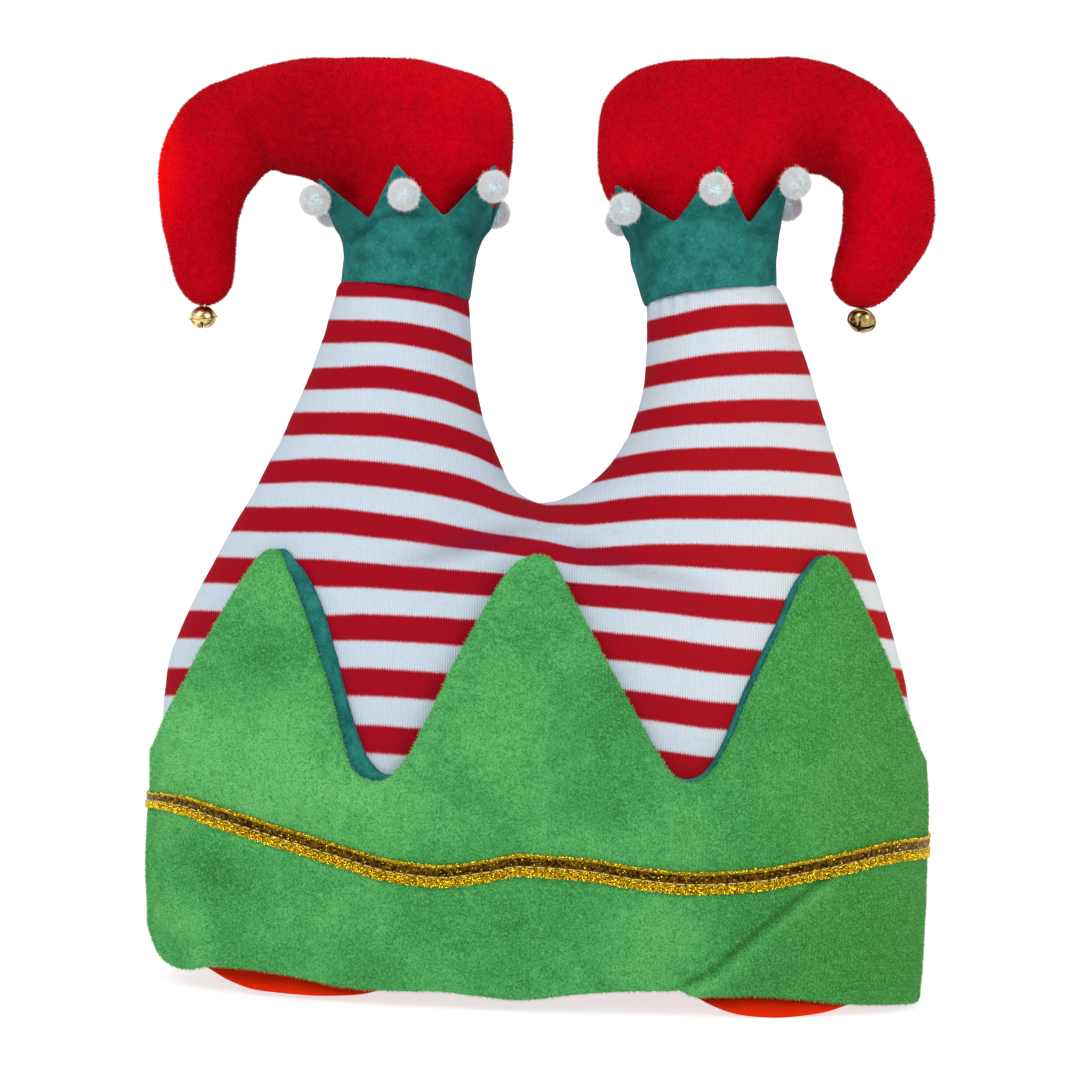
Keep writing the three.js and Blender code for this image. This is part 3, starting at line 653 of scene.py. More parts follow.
points = coordinates(crown)
outward = normals(crown)
x, y, z = points.T
is_outer = np.hypot(x / (HALF_WIDTH - 2), y / (HALF_DEPTH - 2)) > 0.985
is_outer |= z > HEAD_TOP + 2
push = 0.9 * lumps(points, 42, 1) + 0.35 * lumps(points, 15, 2)
push += fold(points, FORK_FOLDS[0], 2.4, 2.8)
push += fold(points, [(-4, 184), (-18, 181), (-36, 181)], 0.7, 2.2)
push += fold(points, FORK_FOLDS[1], 2.0, 2.8)
push += fold(points, [(6, 183), (22, 183), (38, 187)], 0.7, 2.2)
push += fold(points, [(0, 182), (1, 174), (-2, 166)], 0.8, 2.6)
push += fold(points, [(-6, 180), (-26, 172), (-50, 168)], 0.9, 2.8, False)
push += fold(points, [(6, 180), (28, 174), (52, 166)], 0.9, 2.8, False)
seam_pull = np.exp(-((y / 2.2) ** 2)) * (z < 262)
push -= 1.1 * seam_pull
push += 0.35 * np.exp(-((np.abs(y) - 5) / 3) ** 2) * lumps(points * (1, 0, 1), 5, 3) * (z > 90)
for side, leg_x in (("left", -55.5), ("right", 57.0)):
    here = (np.sign(x) == np.sign(leg_x)) & (z > 215)
    angle = np.arctan2(y, x - leg_x)
    push += 0.45 * np.sin(17 * angle + 2 * np.sin(3 * angle)) * np.exp(-(262 - z) / 9) * here * (z < 263)
points = tucked(points + outward * (push * is_outer)[:, None])
points[:, 2] -= 1.7 * np.exp(-((points[:, 0] / 13) ** 2)) * smooth_step(174, 186, points[:, 2])
place_points(crown, points)

# %% [markdown]
# The stripes were measured across the hat: the height of the upper edge of
# each red stripe at nine places from left to right. They arch over the legs
# and dip into the fork. A padded front stands nearer to the eye, so the
# layout is spread a little with the depth of the surface.

# %% Lay out the stripes
STRIPE_PLACES = {
    "left": [-142, -125, -105, -85, -65, -45, -30, -15, 0],
    "right": [0, 15, 30, 45, 65, 85, 105, 125, 142],
}
STRIPE_EDGES = {
    "left": [
        (264, 265, 267, 268.3, 268.4, 266.6, 261.3, 252, 243),
        (246, 247, 249, 251, 251.3, 249.3, 243.9, 235, 226),
        (229, 230, 231.5, 232.7, 234.2, 231.6, 226.4, 218, 210),
        (213, 214, 215, 215.8, 216.3, 214, 210.1, 203, 195),
        (193, 194.5, 196.5, 198.3, 197.7, 195.7, 192.9, 187.3, 183.4),
        (178, 178.6, 179.1, 179.7, 178.3, 176.3, 173.7, 171.4, 169.8),
        (159, 159.4, 159.5, 159.9, 159, 158, 157.3, 156.8, 155.6),
        (138.6, 138.9, 138.8, 138.7, 139.7, 139.5, 139.1, 138.5, 137.5),
        (116.6, 117.1, 117.9, 118.7, 119.2, 118.7, 118, 117.2, 116.5),
        (95, 95.4, 96.2, 97, 97.5, 97, 96.3, 95.6, 95),
    ],
    "right": [
        (243, 248, 253, 257.1, 261.7, 262.9, 263, 262, 261),
        (226, 230.5, 235.5, 239.7, 243.5, 245.2, 245.5, 245, 244),
        (210, 214, 219.1, 222.7, 225.4, 226.7, 227, 226.5, 226),
        (195, 199, 203.3, 206.1, 207.7, 208.5, 207.4, 206.5, 206),
        (183.4, 184.6, 187.1, 188.8, 189.5, 190.1, 189.6, 186, 182),
        (169.8, 167.5, 168.8, 170.1, 170.7, 170.7, 170.1, 169, 166),
        (155.6, 154.3, 154, 153.3, 151.9, 151, 150.2, 148, 146),
        (137.5, 136.7, 135.7, 134.7, 132.5, 131.1, 130, 127.5, 125),
        (116.5, 115.7, 114.6, 113.2, 111, 110.2, 109.5, 107, 104.5),
        (95, 94.2, 93, 92, 90, 89.5, 89, 87, 85),
    ],
}


def stripe_number(points):
    """Grows by one from each red stripe to the next, downwards."""
    spread = 950 / (950 - np.abs(points[:, 1]))
    flat_x = -2 + (points[:, 0] + 2) * spread
    flat_z = 170 + (points[:, 2] - 170) * spread
    numbers = np.zeros(len(points))
    for side in ("left", "right"):
        here = np.nonzero(points[:, 0] < 0 if side == "left" else points[:, 0] >= 0)[0]
        edges = through(STRIPE_PLACES[side], np.array(STRIPE_EDGES[side]).T, flat_x[here])
        height = flat_z[here]
        number = (edges[:, 0] - height) / (edges[:, 0] - edges[:, 1])
        for k in range(1, edges.shape[1]):
            below = height < edges[:, k - 1]
            step = (edges[:, k - 1] - height) / (edges[:, k - 1] - edges[:, k])
            number = np.where(below, k - 1 + step, number)
        numbers[here] = number
    return numbers - 0.25


def carry(piece, name, values):
    attribute = piece.data.attributes.new(name, "FLOAT", "POINT")
    attribute.data.foreach_set("value", values)


def patches_at(x, z, patches):
    """Soft round patches added up at each point, from their place, size and amount."""
    return sum(
        amount * np.exp(-(((x - px) / wide) ** 2 + ((z - pz) / tall) ** 2))
        for px, pz, wide, tall, amount in patches
    )


points = coordinates(crown)
numbers = stripe_number(points)
for line, jog in zip(FORK_FOLDS, (0.035, 0.03)):
    distance, side_of, along = to_line(points[:, 0], points[:, 2], line)
    numbers += (
        jog * side_of * (1 - np.exp(-distance / 2.5)) * np.exp(-distance / 8)
        * np.sin(np.pi * along) * (points[:, 1] < 0)
    )
carry(crown, "stripe", numbers)
# Painted shade along the two fork folds, carried to the jersey as its crease darkening.
shadow = np.zeros(len(points))
for line, strength in zip(FORK_FOLDS, (0.40, 0.32)):
    distance, side_of, along = to_line(points[:, 0], points[:, 2], line)
    fade = np.sin(np.pi * np.clip(0.06 + 0.9 * along, 0, 1)) * (points[:, 1] < 0)
    shadow += strength * fade * np.exp(-distance / np.where(side_of < 0, 4.5, 2.0))
carry(crown, "crease", shadow)
dress(crown, jersey, "jersey", "crown")

# %% [markdown]
# ## The lining
# The lining is a plain red cap of cloth inside the crown. It hangs a little
# lower than the plush at two places in front, where it shows as a red edge,
# and the hat stands on it there and along the back.

# %% Hem heights round the hat
HEM_FRONT = np.array([
    # place across, plush, lining and middle of the braid, in mm
    (-1, 13, 8.5, 67.0), (-0.985, 11.5, 8.6, 67.4), (-0.96, 9.3, 8.8, 68), (-0.93, 7.6, 8.8, 68.3),
    (-0.9, 7.2, 8.2, 68.2), (-0.87, 7.6, 7.4, 67.8), (-0.80, 9.8, 4.5, 65.6),
    (-0.72, 10.4, 2.2, 62.9), (-0.58, 9.1, 1.8, 57.8), (-0.45, 6.3, 3.0, 53.1),
    (-0.34, 6.0, 7.0, 49.4), (-0.23, 6.5, 10, 48.2), (-0.12, 5.4, 10, 50.5), (-0.03, 4.6, 10, 53.2),
    (0.11, 7.3, 11, 52.5), (0.25, 9.0, 11, 49.9), (0.38, 9.5, 9.5, 48.5), (0.47, 8.9, 4.2, 49.0),
    (0.56, 8.2, 0.8, 50.4), (0.65, 7.0, 0.0, 53.0), (0.77, 4.6, 1.4, 56.5), (0.87, 3.4, 4.2, 59.4),
    (0.94, 2.6, 4.6, 60.2), (1, 1.6, 3.6, 60.0),
])
HEM_BACK = np.array([
    (-1, 13, 8.5, 67.0), (-0.93, 6, 5, 66), (-0.8, 0.5, 0.2, 62.5), (0, 0.5, 0.2, 58.3),
    (0.8, 0.5, 0.2, 60.8), (1, 1.6, 3.6, 60.0),
])


def hem(across, deep, what):
    """Height of the plush (1), the lining (2) or the braid (3) round the hat."""
    front = through(HEM_FRONT[:, 0], HEM_FRONT[:, what], across)
    back = through(HEM_BACK[:, 0], HEM_BACK[:, what], across)
    return np.where(deep > 0, back, front)


def even_turns(count, half_width=HALF_WIDTH, half_depth=HALF_DEPTH):
    """Turns that cut the oval into equal lengths, from the left side by way of the front."""
    dense = np.linspace(math.pi, 3 * math.pi, 4001)
    a, d = oval(dense)
    run = np.concatenate([[0], np.cumsum(np.hypot(np.diff(a) * half_width, np.diff(d) * half_depth))])
    return np.interp(run[-1] * np.arange(count) / count, run, dense), run[-1]


lining_turns, _ = even_turns(200)
a, d = oval(lining_turns)
foot = hem(a, d, 2)
rows = []
for offset, order in ((2.0, -1), (0.5, 1)):
    skin_rows = []
    top = HEAD_TOP - offset
    for up, wide, thick in HOLLOW_ROWS:
        height = foot if up < 0.1 else np.full(len(a), top * up)
        skin_rows.append(np.stack([
            a * (HALF_WIDTH - WALL - offset) * wide, d * (HALF_DEPTH - WALL - offset) * thick, height,
        ], axis=1))
    low, high = skin_rows[0], skin_rows[1]
    filled = [low * (1 - t) + high * t for t in (0, 0.06, 0.14, 0.25, 0.4, 0.6, 0.8)] + skin_rows[1:]
    filled.append(np.tile((0, 0, top), (len(a), 1)))
    rows += filled[::order]
lining_cap = to_mesh("lining_cap", [skin(rows)])
points = coordinates(lining_cap)
ripple = lumps(points * (1, 1, 0.4), 13, 8) * 0.45 + lumps(points * (1, 1, 0.5), 6, 9) * 0.2
low_part = np.exp(-points[:, 2] / 14)
points[:, 1] -= np.sign(points[:, 1]) * np.abs(ripple) * low_part
droop = smooth_step(10.5, 1, points[:, 2]) * (points[:, 1] < -12)
points[:, 1] -= droop * (6.4 + 4.0 * smooth_step(40, 62, points[:, 0]) + 0.8 * ripple)
place_points(lining_cap, tucked(points))
lining_cap = subdivided(lining_cap, 1)
dress(lining_cap, lining, "lining", "lining_front", "lining_back")


def cap_cut(inset=WALL + 1.25):
    """Flat area of the lining's rounded panels in m2, from the rows of the hollow."""
    halves = HOLLOW_ROWS[:, 1:] * (HALF_WIDTH - inset, HALF_DEPTH - inset)
    up = np.concatenate([[foot.mean()], (HEAD_TOP - 1.25) * HOLLOW_ROWS[1:, 0]])
    around = np.array([even_turns(200, *half)[1] for half in halves])
    slant = np.hypot(np.diff(up)[:, None], np.diff(halves, axis=0)).mean(axis=1)
    oval_share = math.gamma(1 + 1 / OVAL) ** 2 / math.gamma(1 + 2 / OVAL)
    top = 4 * halves[-1].prod() * oval_share
    return (((around[:-1] + around[1:]) / 2 * slant).sum() + top) * MM**2


print("lining cut:", round(cap_cut(), 5), "mesh:", sum(face.area for face in lining_cap.data.polygons) / 2)
cap_cut()

# %% [markdown]
# ## The plush cuff and its felt
# The cuff is cut in three peaks in front and three behind. The line of its
# upper edge, and how far the felt stands out above it, were measured every few
# millimetres across the front. The back has the same three peaks, a little
# simpler. The plush has a thin wadding behind it, so it swells between the
# edge and the braid, rolls over at its edges, and is pulled in where the
# braid is sewn through it.

# %% Edges of the cuff
FRONT_EDGE = np.array([
    # place across, height of the plush, felt shown above it, in mm
    (-1, 86, 0.6), (-0.969, 90.4, 0.5), (-0.937, 100.3, 0.3), (-0.909, 108.8, 0), (-0.881, 117.5, 0),
    (-0.861, 129.3, 0), (-0.845, 139, 0), (-0.835, 148.3, 0), (-0.823, 156, 0), (-0.812, 161.5, 0),
    (-0.798, 163.3, 0), (-0.775, 163.4, 0.2), (-0.757, 161.6, 1), (-0.722, 156, 3), (-0.693, 152, 4.4),
    (-0.661, 146.6, 6), (-0.629, 140.5, 7.4), (-0.598, 133.8, 8.6), (-0.573, 128.2, 8.9),
    (-0.547, 121.2, 9.2),
    (-0.525, 114.6, 10.3), (-0.506, 106.5, 11.6), (-0.487, 97.6, 12.6), (-0.469, 89, 14.3),
    (-0.453, 84.4, 12.8), (-0.438, 82.8, 9.4), (-0.423, 81.6, 7.2), (-0.394, 80.9, 3.6), (-0.365, 82.2, 1.3),
    (-0.337, 86.7, 0.3), (-0.309, 92.6, 0), (-0.283, 101.6, 0), (-0.257, 109.8, 0), (-0.22, 123.7, 0),
    (-0.184, 135.7, 0), (-0.147, 147.2, 0), (-0.119, 154.4, 0), (-0.091, 160.3, 0), (-0.059, 163.2, 0),
    (-0.02, 164.7, 0), (0.008, 164.1, 0), (0.025, 162.3, 0), (0.042, 158.6, 0), (0.076, 150.4, 0.3),
    (0.123, 138.6, 0.6), (0.183, 122.9, 0.8), (0.241, 107.8, 0.9), (0.285, 96.6, 1), (0.315, 89.6, 1),
    (0.345, 85.4, 1), (0.374, 84.5, 1), (0.403, 85.6, 1.1), (0.432, 89.4, 1.4), (0.461, 96.6, 1.8),
    (0.493, 106.2, 1.9), (0.526, 116.4, 1.8), (0.564, 125.4, 1.6), (0.604, 134.4, 1.4), (0.648, 143.2, 1),
    (0.697, 153.4, 0.8), (0.722, 157.8, 0.5), (0.746, 161.2, 0.2), (0.768, 163.8, 0), (0.792, 166.6, 0),
    (0.813, 167.8, 0), (0.838, 167.6, 0), (0.852, 164.9, 0), (0.866, 158.4, 0), (0.879, 149.1, 0),
    (0.892, 139, 0), (0.906, 127.6, 0), (0.921, 115.5, 0.2), (0.947, 104.7, 0.4), (0.96, 98.6, 0.5),
    (1, 92, 0.6),
])
BACK_EDGE = np.array([
    (-1, 86, 1.2), (-0.96, 94, 1), (-0.9, 119, 1), (-0.84, 148, 1), (-0.815, 160, 0.6), (-0.79, 163.4, 0.4),
    (-0.76, 160, 0.8), (-0.7, 148, 2), (-0.6, 127, 2.4), (-0.5, 103, 2.4), (-0.45, 90, 2), (-0.4, 82.5, 1.6),
    (-0.35, 90, 1.4), (-0.3, 104, 1.4), (-0.2, 130, 1.4), (-0.1, 153, 1), (-0.04, 163.5, 0.4), (0, 165, 0.3),
    (0.04, 163.5, 0.4), (0.1, 151, 1), (0.2, 127, 1.6), (0.28, 104, 1.8), (0.33, 91, 1.8), (0.377, 85.5, 1.8),
    (0.43, 92, 1.8), (0.5, 106, 2), (0.6, 129, 2), (0.7, 149, 1.4), (0.77, 163, 0.6), (0.817, 168, 0.3),
    (0.85, 163, 0.5), (0.88, 147, 0.8), (0.92, 120, 1), (0.97, 99, 1), (1, 92, 1.2),
])


def edge(across, deep, what):
    front = through(FRONT_EDGE[:, 0], FRONT_EDGE[:, what], across)
    back = through(BACK_EDGE[:, 0], BACK_EDGE[:, what], across)
    return np.where(deep > 0, back, front)


LAYER_ROWS = CROWN_ROWS[:, [0, 2, 3, 4]]


def on_crown(across, deep, height, outwards):
    """Points on the crown's outside, moved outwards, as the layers over it lie."""
    share = height / FORK
    wide = np.where(across < 0, *(through(LAYER_ROWS[:, 0], LAYER_ROWS[:, k], share) for k in (1, 2)))
    thick = through(LAYER_ROWS[:, 0], LAYER_ROWS[:, 3], share)
    return tucked(np.stack([
        across * (HALF_WIDTH * wide + outwards), deep * (HALF_DEPTH * thick + outwards), height,
    ], axis=1))


# %% Swell, dents and folds of the plush
FOLD_LINE = [(112, 53.5), (105, 49), (98, 43.4), (84, 32), (66, 16), (53, 9)]


def plush_push(across, deep, height, low, high, middle):
    """How far the plush stands out or in from its plain layer, in mm."""
    flat = on_crown(across, deep, height, 5.8)
    x, z = flat[:, 0], flat[:, 2]
    face_on = smooth_step(0.04, 0.45, np.abs(deep))
    is_front = deep < 0
    swell = 1.6 * np.clip((height - middle) / (high - middle + 1e-6), 0, 1) ** 0.7
    swell *= smooth_step(0, 12, high - height)
    swell += 1.3 * np.exp(-(((height - low - 16) / 12) ** 2))
    waves = 1.2 * lumps(flat, 46, 11) + 0.6 * lumps(flat, 19, 12)
    dents = -1.6 * np.exp(-(((x + 118) / 16) ** 2 + ((z - 46) / 10) ** 2)) * is_front
    dents -= 1.8 * np.exp(-(((x - 8) / 14) ** 2 + ((z - 33) / 14) ** 2)) * is_front
    push = (swell + waves * smooth_step(0, 8, high - height) + dents) * face_on
    push -= 0.8 * np.exp(-(((height - middle) / 5) ** 2)) * (0.3 + 0.7 * face_on)
    curl = np.clip(1 - (height - low) / 10, 0, 1) ** 2
    taper = np.clip(1 - (height - low) / 34, 0, 1) * (across > 0)
    shoulder = np.clip(1 - (high - height) / 26, 0, 1) ** 1.6
    return push - (1 - face_on) * (0.7 + 2.6 * curl * (across < 0) + 1.8 * taper + 2.2 * shoulder)


def layer(name, count, low, high, inner, outer, rows, push=None):
    """A closed ring of cloth between two edges, rounded where it ends."""
    turns, _ = even_turns(count)
    across, deep = oval(turns)
    low, high = low(across, deep), high(across, deep)
    middle = hem(across, deep, 3)
    thick = outer - inner
    rings = []
    for turn in np.linspace(0, math.pi, 7):
        drop = 0.5 * thick * (1 - math.sin(turn)) if 0 < turn < math.pi else 0.5 * thick
        rings.append((low + drop, inner + thick * (1 - math.cos(turn)) / 2))
    for share in np.linspace(0, 1, rows)[1:-1]:
        rings.append((low + thick / 2 + (high - low - thick) * share, np.full(count, outer)))
    for turn in np.linspace(0, math.pi, 7):
        drop = 0.5 * thick * (1 - math.sin(turn)) if 0 < turn < math.pi else 0.5 * thick
        rings.append((high - drop, inner + thick * (1 + math.cos(turn)) / 2))
    for share in (0.9, 0.7, 0.4, 0.15):
        rings.append((low + (high - low) * share, np.full(count, inner)))
    made = []
    for height, offset in rings:
        offset = np.broadcast_to(offset, (count,))
        if push is not None:
            is_outside = (offset - inner) / thick
            offset = offset + np.clip(push(across, deep, height, low, high, middle), -1.8, 4.5) * is_outside
        made.append(on_crown(across, deep, height, offset))
    made.append(made[0])
    return to_mesh(name, [skin(made)])


cuff = layer(
    "cuff_plush", 336, lambda a, d: hem(a, d, 1), lambda a, d: edge(a, d, 1), 2.8, 5.8, 46, plush_push,
)
cuff = subdivided(cuff, 1)
points = coordinates(cuff)
outward = normals(cuff)
x, y, z = points.T
is_front = (y < 0) & (outward[:, 1] < 0.2)
distance, side_of, along = to_line(x, z, FOLD_LINE)
signed = distance * side_of
reach = smooth_step(0, 0.12, along) * smooth_step(1.02, 0.9, along) * is_front
step = 2.6 * smooth_step(-0.4, 1.4, signed) * np.exp(-np.clip(signed, 0, None) / 11)
step -= 1.3 * np.exp(-(((signed + 1.0) / 1.6) ** 2))
points = points + outward * (step * reach)[:, None]
place_points(cuff, points)
PATCHES = [
    # x, z, width and height of a patch in front, and how much lighter it is: painted light and shade, partly
    # brushed nap
    (-118, 46, 16, 11, -0.5), (-97, 125, 14, 9, -0.45), (-6, 36, 13, 22, -0.7), (16, 34, 10, 12, -0.5),
    (-30, 22, 16, 10, -0.4), (96, 24, 24, 16, -0.8), (128, 34, 14, 26, -0.25),
    (-118, 88, 28, 28, 0.9), (-75, 76, 24, 18, 0.5), (-130, 24, 14, 14, 0.4),
    (-70, 24, 26, 14, 0.25), (-20, 96, 22, 16, 0.3), (22, 118, 20, 20, -0.2), (118, 82, 22, 24, 0.3),
    (50, 30, 20, 12, 0.4), (-12, 64, 9, 16, -0.35),
]
brush = patches_at(x, z, PATCHES) * (y < 0)
# Painted shade in the fold's groove and on its lower side, and a painted highlight on its raised side.
brush -= 0.75 * np.exp(-(((signed + 1.2) / 1.6) ** 2)) * reach
brush -= 0.35 * smooth_step(0, -3, signed) * np.exp(np.clip(signed, None, 0) / 14) * reach
brush += 0.7 * np.exp(-(((signed - 2.2) / 2.6) ** 2)) * reach
carry(cuff, "brush", brush)
print("cuff points:", len(cuff.data.vertices))

FACING_FOOT, FACING_INNER, FACING_OUTER = 16.0, 0.5, 2.4


def facing_push(across, deep, height, low, high, middle):
    """The felt stands out at its upper edge and is a little uneven."""
    uneven = 0.25 * lumps(on_crown(across, deep, height, 1), 9, 21)
    return 0.8 * smooth_step(6, 0, high - height) + uneven


facing = layer(
    "facing_felt", 336,
    lambda a, d: np.full(len(a), FACING_FOOT), lambda a, d: edge(a, d, 1) + edge(a, d, 2),
    FACING_INNER, FACING_OUTER, 26, facing_push,
)
dress(facing, felt, "felt", "cuff_facing")
facing_middle = (FACING_INNER + FACING_OUTER) / 2
facing_turns, facing_rim = even_turns(336, HALF_WIDTH + facing_middle, HALF_DEPTH + facing_middle)
facing_at = oval(facing_turns)
facing_area = facing_rim * (edge(*facing_at, 1) + edge(*facing_at, 2) - FACING_FOOT).mean() * MM**2
print("facing cut:", round(facing_area, 5), "mesh:", sum(face.area for face in facing.data.polygons) / 2)

# %% [markdown]
# ## Pile and fur
# Plush, velour and pompoms end in fibres. Geometry Nodes scatter points over
# a piece and stand a thin three-sided fibre on each, leaning a little at
# random. The same tree makes all of them, with other lengths and densities.

# %% A node tree that grows fibres
def fibre_tree():
    tree = bpy.data.node_groups.new("fibres", "GeometryNodeTree")
    face = tree.interface
    face.new_socket("Geometry", in_out="INPUT", socket_type="NodeSocketGeometry")
    for name, kind, value in (
        ("Density", "NodeSocketFloat", 1e6), ("Length", "NodeSocketFloat", 0.002),
        ("Thickness", "NodeSocketFloat", 0.0002), ("Lean", "NodeSocketFloat", 0.5),
        ("Seed", "NodeSocketInt", 1), ("Finish", "NodeSocketMaterial", None),
    ):
        socket = face.new_socket(name, in_out="INPUT", socket_type=kind)
        if value is not None:
            socket.default_value = value
    face.new_socket("Geometry", in_out="OUTPUT", socket_type="NodeSocketGeometry")
    nodes, link = tree.nodes, tree.links.new
    given = nodes.new("NodeGroupInput")
    scatter = nodes.new("GeometryNodeDistributePointsOnFaces")
    link(given.outputs["Geometry"], scatter.inputs["Mesh"])
    link(given.outputs["Density"], scatter.inputs["Density"])
    link(given.outputs["Seed"], scatter.inputs["Seed"])
    fibre = nodes.new("GeometryNodeMeshCone")
    fibre.fill_type = "NONE"
    fibre.inputs["Vertices"].default_value = 3
    fibre.inputs["Radius Top"].default_value = 0
    link(given.outputs["Thickness"], fibre.inputs["Radius Bottom"])
    link(given.outputs["Length"], fibre.inputs["Depth"])
    lean = nodes.new("FunctionNodeRandomValue")
    lean.data_type = "FLOAT_VECTOR"
    lean.inputs["Min"].default_value = (-1, -1, -1)
    lean.inputs["Max"].default_value = (1, 1, 1)
    link(given.outputs["Seed"], lean.inputs["Seed"])
    scaled = nodes.new("ShaderNodeVectorMath")
    scaled.operation = "SCALE"
    link(lean.outputs[0], scaled.inputs[0])
    link(given.outputs["Lean"], scaled.inputs["Scale"])
    direction = nodes.new("ShaderNodeVectorMath")
    link(scatter.outputs["Normal"], direction.inputs[0])
    link(scaled.outputs[0], direction.inputs[1])
    align = nodes.new("FunctionNodeAlignRotationToVector")
    align.axis = "Z"
    link(direction.outputs[0], align.inputs["Vector"])
    size = nodes.new("FunctionNodeRandomValue")
    size.inputs[2].default_value = 0.6
    size.inputs[3].default_value = 1.15
    link(given.outputs["Seed"], size.inputs["Seed"])
    stand = nodes.new("GeometryNodeInstanceOnPoints")
    link(scatter.outputs["Points"], stand.inputs["Points"])
    link(fibre.outputs["Mesh"], stand.inputs["Instance"])
    link(align.outputs[0], stand.inputs["Rotation"])
    link(size.outputs[1], stand.inputs["Scale"])
    tint = nodes.new("FunctionNodeRandomValue")
    link(given.outputs["Seed"], tint.inputs["Seed"])
    stored = nodes.new("GeometryNodeStoreNamedAttribute")
    stored.domain = "INSTANCE"
    stored.inputs["Name"].default_value = "tint"
    link(stand.outputs[0], stored.inputs["Geometry"])
    link(tint.outputs[1], stored.inputs["Value"])
    real = nodes.new("GeometryNodeRealizeInstances")
    link(stored.outputs[0], real.inputs[0])
    finish = nodes.new("GeometryNodeSetMaterial")
    link(real.outputs[0], finish.inputs["Geometry"])
    link(given.outputs["Finish"], finish.inputs["Material"])
    result = nodes.new("NodeGroupOutput")
    link(finish.outputs[0], result.inputs["Geometry"])
    return tree


FIBRES = fibre_tree()


def grown(piece, name, finish, **inputs):
    """A plain mesh of what a node tree grows on a piece."""
    bed = bpy.data.objects.new(name, piece.data.copy())
    bpy.context.collection.objects.link(bed)
    modifier = bed.modifiers.new("fibres", "NODES")
    modifier.node_group = FIBRES
    sockets = {item.name: item.identifier for item in FIBRES.interface.items_tree if item.in_out == "INPUT"}
    for key, value in inputs.items():
        modifier[sockets[key]] = value
    modifier[sockets["Finish"]] = finish.material
    baked(bed)
    return bed


def joined(name, *pieces):
    """One object from several plain meshes at the origin, each keeping its finish."""
    shape = bmesh.new()
    materials = []
    for piece in pieces:
        start = len(shape.faces)
        shape.from_mesh(piece.data)
        shape.faces.ensure_lookup_table()
        material = piece.data.materials[0]
        if material not in materials:
            materials.append(material)
        for face in shape.faces[start:]:
            face.material_index = materials.index(material)
    whole = placed(name, shape)
    for material in materials:
        whole.data.materials.append(material)
    for piece in pieces:
        bpy.data.objects.remove(piece)
    return whole


# %% Grow the pile of the cuff
def only_faces(piece, name, keep):
    """A copy of the faces whose middle, in mm, and normal pass a test."""
    shape = bmesh.new()
    shape.from_mesh(piece.data)
    gone = [face for face in shape.faces if not keep(face.calc_center_median() / MM, face.normal)]
    bmesh.ops.delete(shape, geom=gone, context="FACES")
    return placed(name, shape)


def outwards(middle, normal):
    away = normal.x * middle.x / HALF_WIDTH**2 + normal.y * middle.y / HALF_DEPTH**2
    return away > -0.0006 or abs(normal.z) > 0.5


dress(cuff, plush, "plush", "cuff_front", "cuff_back")
for face_name, sign in (("front", -1), ("back", 1)):
    bed = only_faces(cuff, "bed", lambda middle, normal: middle.y * sign > 0 and outwards(middle, normal))
    pile = grown(
        bed, f"pile_{face_name}", plush,
        Density=2.6e6, Length=0.0010, Thickness=0.00014, Lean=0.6, Seed=3 + sign,
    )
    bpy.data.objects.remove(bed)
    dress(pile, None, "plush")

# %% [markdown]
# ## The boots
# Each boot is a stuffed bag of velour that curls from heel to toe. Its
# sections stand across a curved middle line, from the same table as the
# solids. The bag and the stub that goes down into the collar are joined by a
# voxel remesh, which welds them as cloth would, and smoothing rounds the weld.

# %% Boots
BOOT_REACH, BOOT_RISE, BOOT_HALF = 95.0, 82.0, 23.0
BOOT_ROWS = {
    # along, up, half thickness, half width
    "left": np.array([
        (-0.402, 0.52, 0.1, 0.25), (-0.392, 0.52, 0.195, 0.5), (-0.357, 0.52, 0.264, 0.7),
        (-0.275, 0.535, 0.325, 0.84), (-0.127, 0.562, 0.357, 0.97), (0.073, 0.598, 0.363, 1),
        (0.262, 0.626, 0.331, 0.98), (0.441, 0.66, 0.28, 0.94), (0.63, 0.628, 0.247, 0.9),
        (0.774, 0.534, 0.242, 0.87), (0.840, 0.341, 0.222, 0.82), (0.845, 0.156, 0.186, 0.72),
        (0.83, -0.002, 0.16, 0.62), (0.819, -0.127, 0.139, 0.52), (0.818, -0.203, 0.094, 0.36),
        (0.819, -0.238, 0.043, 0.16),
    ]),
    "right": np.array([
        (-0.446, 0.5, 0.1, 0.25), (-0.435, 0.5, 0.19, 0.5), (-0.395, 0.503, 0.252, 0.7),
        (-0.3, 0.518, 0.338, 0.86), (-0.193, 0.547, 0.376, 0.97), (0.007, 0.592, 0.374, 1),
        (0.197, 0.65, 0.329, 0.98), (0.355, 0.705, 0.274, 0.94), (0.552, 0.655, 0.243, 0.9),
        (0.657, 0.560, 0.222, 0.88), (0.718, 0.418, 0.222, 0.86), (0.735, 0.247, 0.22, 0.83),
        (0.721, 0.143, 0.21, 0.79), (0.698, 0.068, 0.202, 0.75), (0.673, -0.008, 0.193, 0.69),
        (0.658, -0.045, 0.184, 0.64), (0.647, -0.095, 0.16, 0.55), (0.641, -0.14, 0.125, 0.43),
        (0.641, -0.172, 0.08, 0.28), (0.642, -0.19, 0.03, 0.12),
    ]),
}
ANKLE = {
    # sign, x, z, half width
    "left": (-1, -55.1, 273.2, 22.8),
    "right": (1, 56.3, 276.75, 25.5),
}


